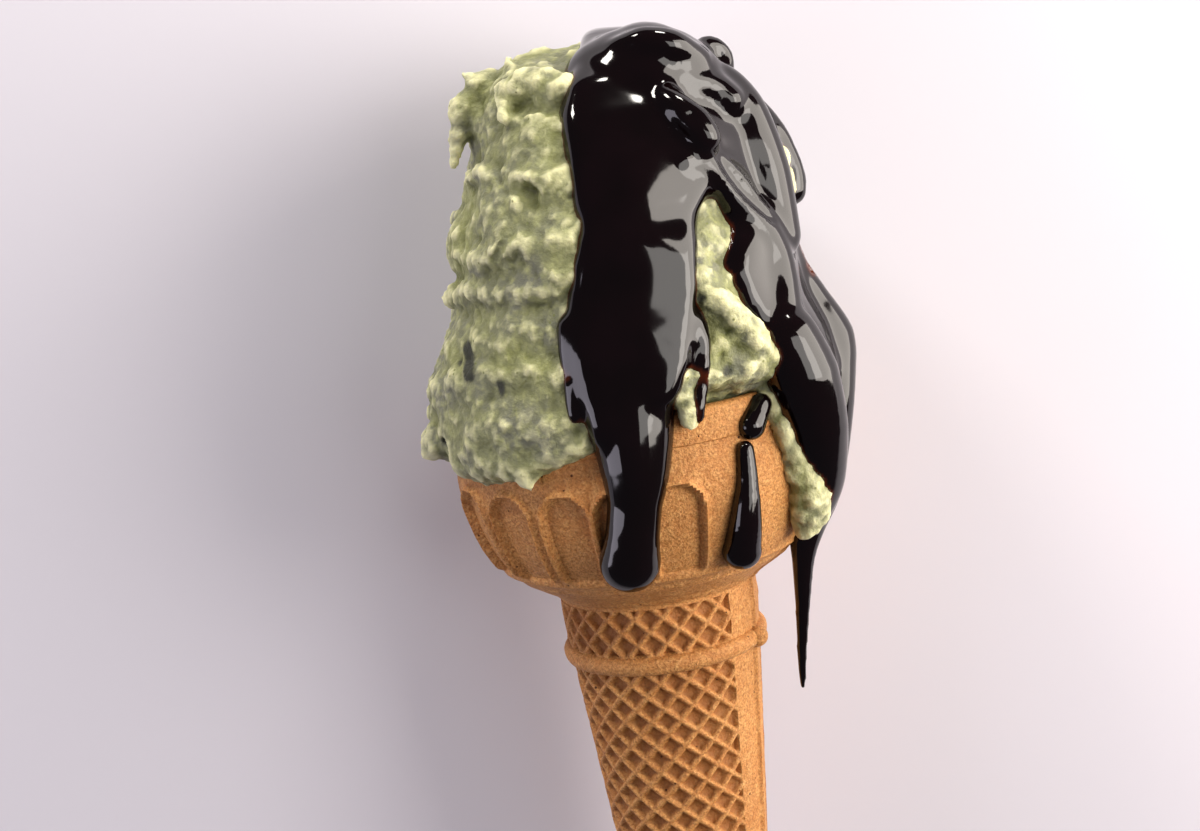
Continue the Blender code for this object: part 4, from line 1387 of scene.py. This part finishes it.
heap_tree = BVHTree.FromObject(heap, bpy.context.evaluated_depsgraph_get())
laid_runs = tuple(
    lay_on(heap_tree, balls) for balls in (THIN_FILM, LEFT_FILM, UPPER_NOSE, LOWER_NOSE, SADDLE)
)
runs = (FRONT_RUN, FRONT_FOOT, LEFT_SIDE_RUN, TOP_FOLD, COIL, COIL_CUP, CROWN) + laid_runs
runs += (UPPER_RIBBON, LOWER_RIBBON, SIDE_STRAND, RIGHT_RUN, MIDDLE_RUN)
pour("chocolate_sauce_cover", "chocolate_sauce", runs, True, SAUCE_VOXEL, FLOW_ROUNDS)
pour("sauce_drip_on_bowl", "sauce_drip", (BOWL_DRIP,), False, DRIP_VOXEL, FLOW_ROUNDS)
pour("sauce_drop_on_rim", "sauce_drop", (RIM_DROP,), False, DRIP_VOXEL, FLOW_ROUNDS)
drop(heap)
drop(wafer_skin)

# %% [markdown]
# ## Floor and light
# The cone lies on a plain pale floor. The sauce is a mirror, so its shape is read by what it
# reflects: two soft panels on the right give the broad pale fields, a weaker one on the left lights
# that side, and two small lamps beyond the top give the sparkles. The sky stays dim, so that the
# front of the sauce stays black.

# %% Floor and light
FLOOR_REACH = 1.5
FLOOR_GAP = 0.0002
FLOOR_CLOUD = 1 / 3
AIM_HEAP = (0.0, 0.04, 0.03)
AIM_BOWL = (0.0, 0.02, 0.03)


def make_floor():
    """A plain pale floor, a hair under the cone."""
    bm = bmesh.new()
    bmesh.ops.create_grid(bm, x_segments=1, y_segments=1, size=FLOOR_REACH)
    floor = loose_object("studio_floor", bm)
    floor.location.z = -FLOOR_GAP
    material, tree, shader, place = start_material("pale_floor")
    cloud = soft_spots(tree, place, FLOOR_CLOUD, 2)
    colour = mix_colours(tree, ramp(tree, cloud, 0.3, 0.7), "#dcd9e2", "#d8d5df")
    finish_material(tree, shader, colour, None, {"Roughness": 0.8})
    floor.data.materials.append(material)


def add_panel(name, place, aim, size, power, colour):
    """A soft rectangular light aimed at a point."""
    data = bpy.data.lights.new(name, "AREA")
    data.shape = "RECTANGLE"
    data.size, data.size_y = size
    data.energy = power
    data.color = hex_colour(colour)[:3]
    light = bpy.data.objects.new(name, data)
    light.location = place
    light.rotation_euler = (Vector(aim) - Vector(place)).to_track_quat("-Z", "Y").to_euler()
    bpy.context.collection.objects.link(light)


def make_sky():
    """A dim, slightly violet sky all round."""
    world = bpy.data.worlds.new("dim_studio")
    bpy.context.scene.world = world
    world.use_nodes = True
    background = world.node_tree.nodes["Background"]
    background.inputs["Color"].default_value = hex_colour("#b9b6c6")
    background.inputs["Strength"].default_value = 0.17


make_floor()
make_sky()
add_panel("right_panel", (0.50, 0.10, 0.22), AIM_HEAP, (0.40, 0.62), 5.6, "#fff6ec")
add_panel("slab_panel", (0.36, 0.06, 0.50), AIM_HEAP, (0.24, 0.46), 1.4, "#fffaf4")
add_panel("top_right_lamp", (0.16, 0.55, 0.14), AIM_HEAP, (0.12, 0.09), 1.3, "#fffaf0")
add_panel("top_left_lamp", (-0.24, 0.50, 0.22), AIM_HEAP, (0.12, 0.09), 1.5, "#fffaf0")
add_panel("left_panel", (-0.60, -0.02, 0.24), AIM_BOWL, (0.22, 0.60), 1.5, "#f6efff")
bpy.context.scene.view_settings.view_transform = "Standard"
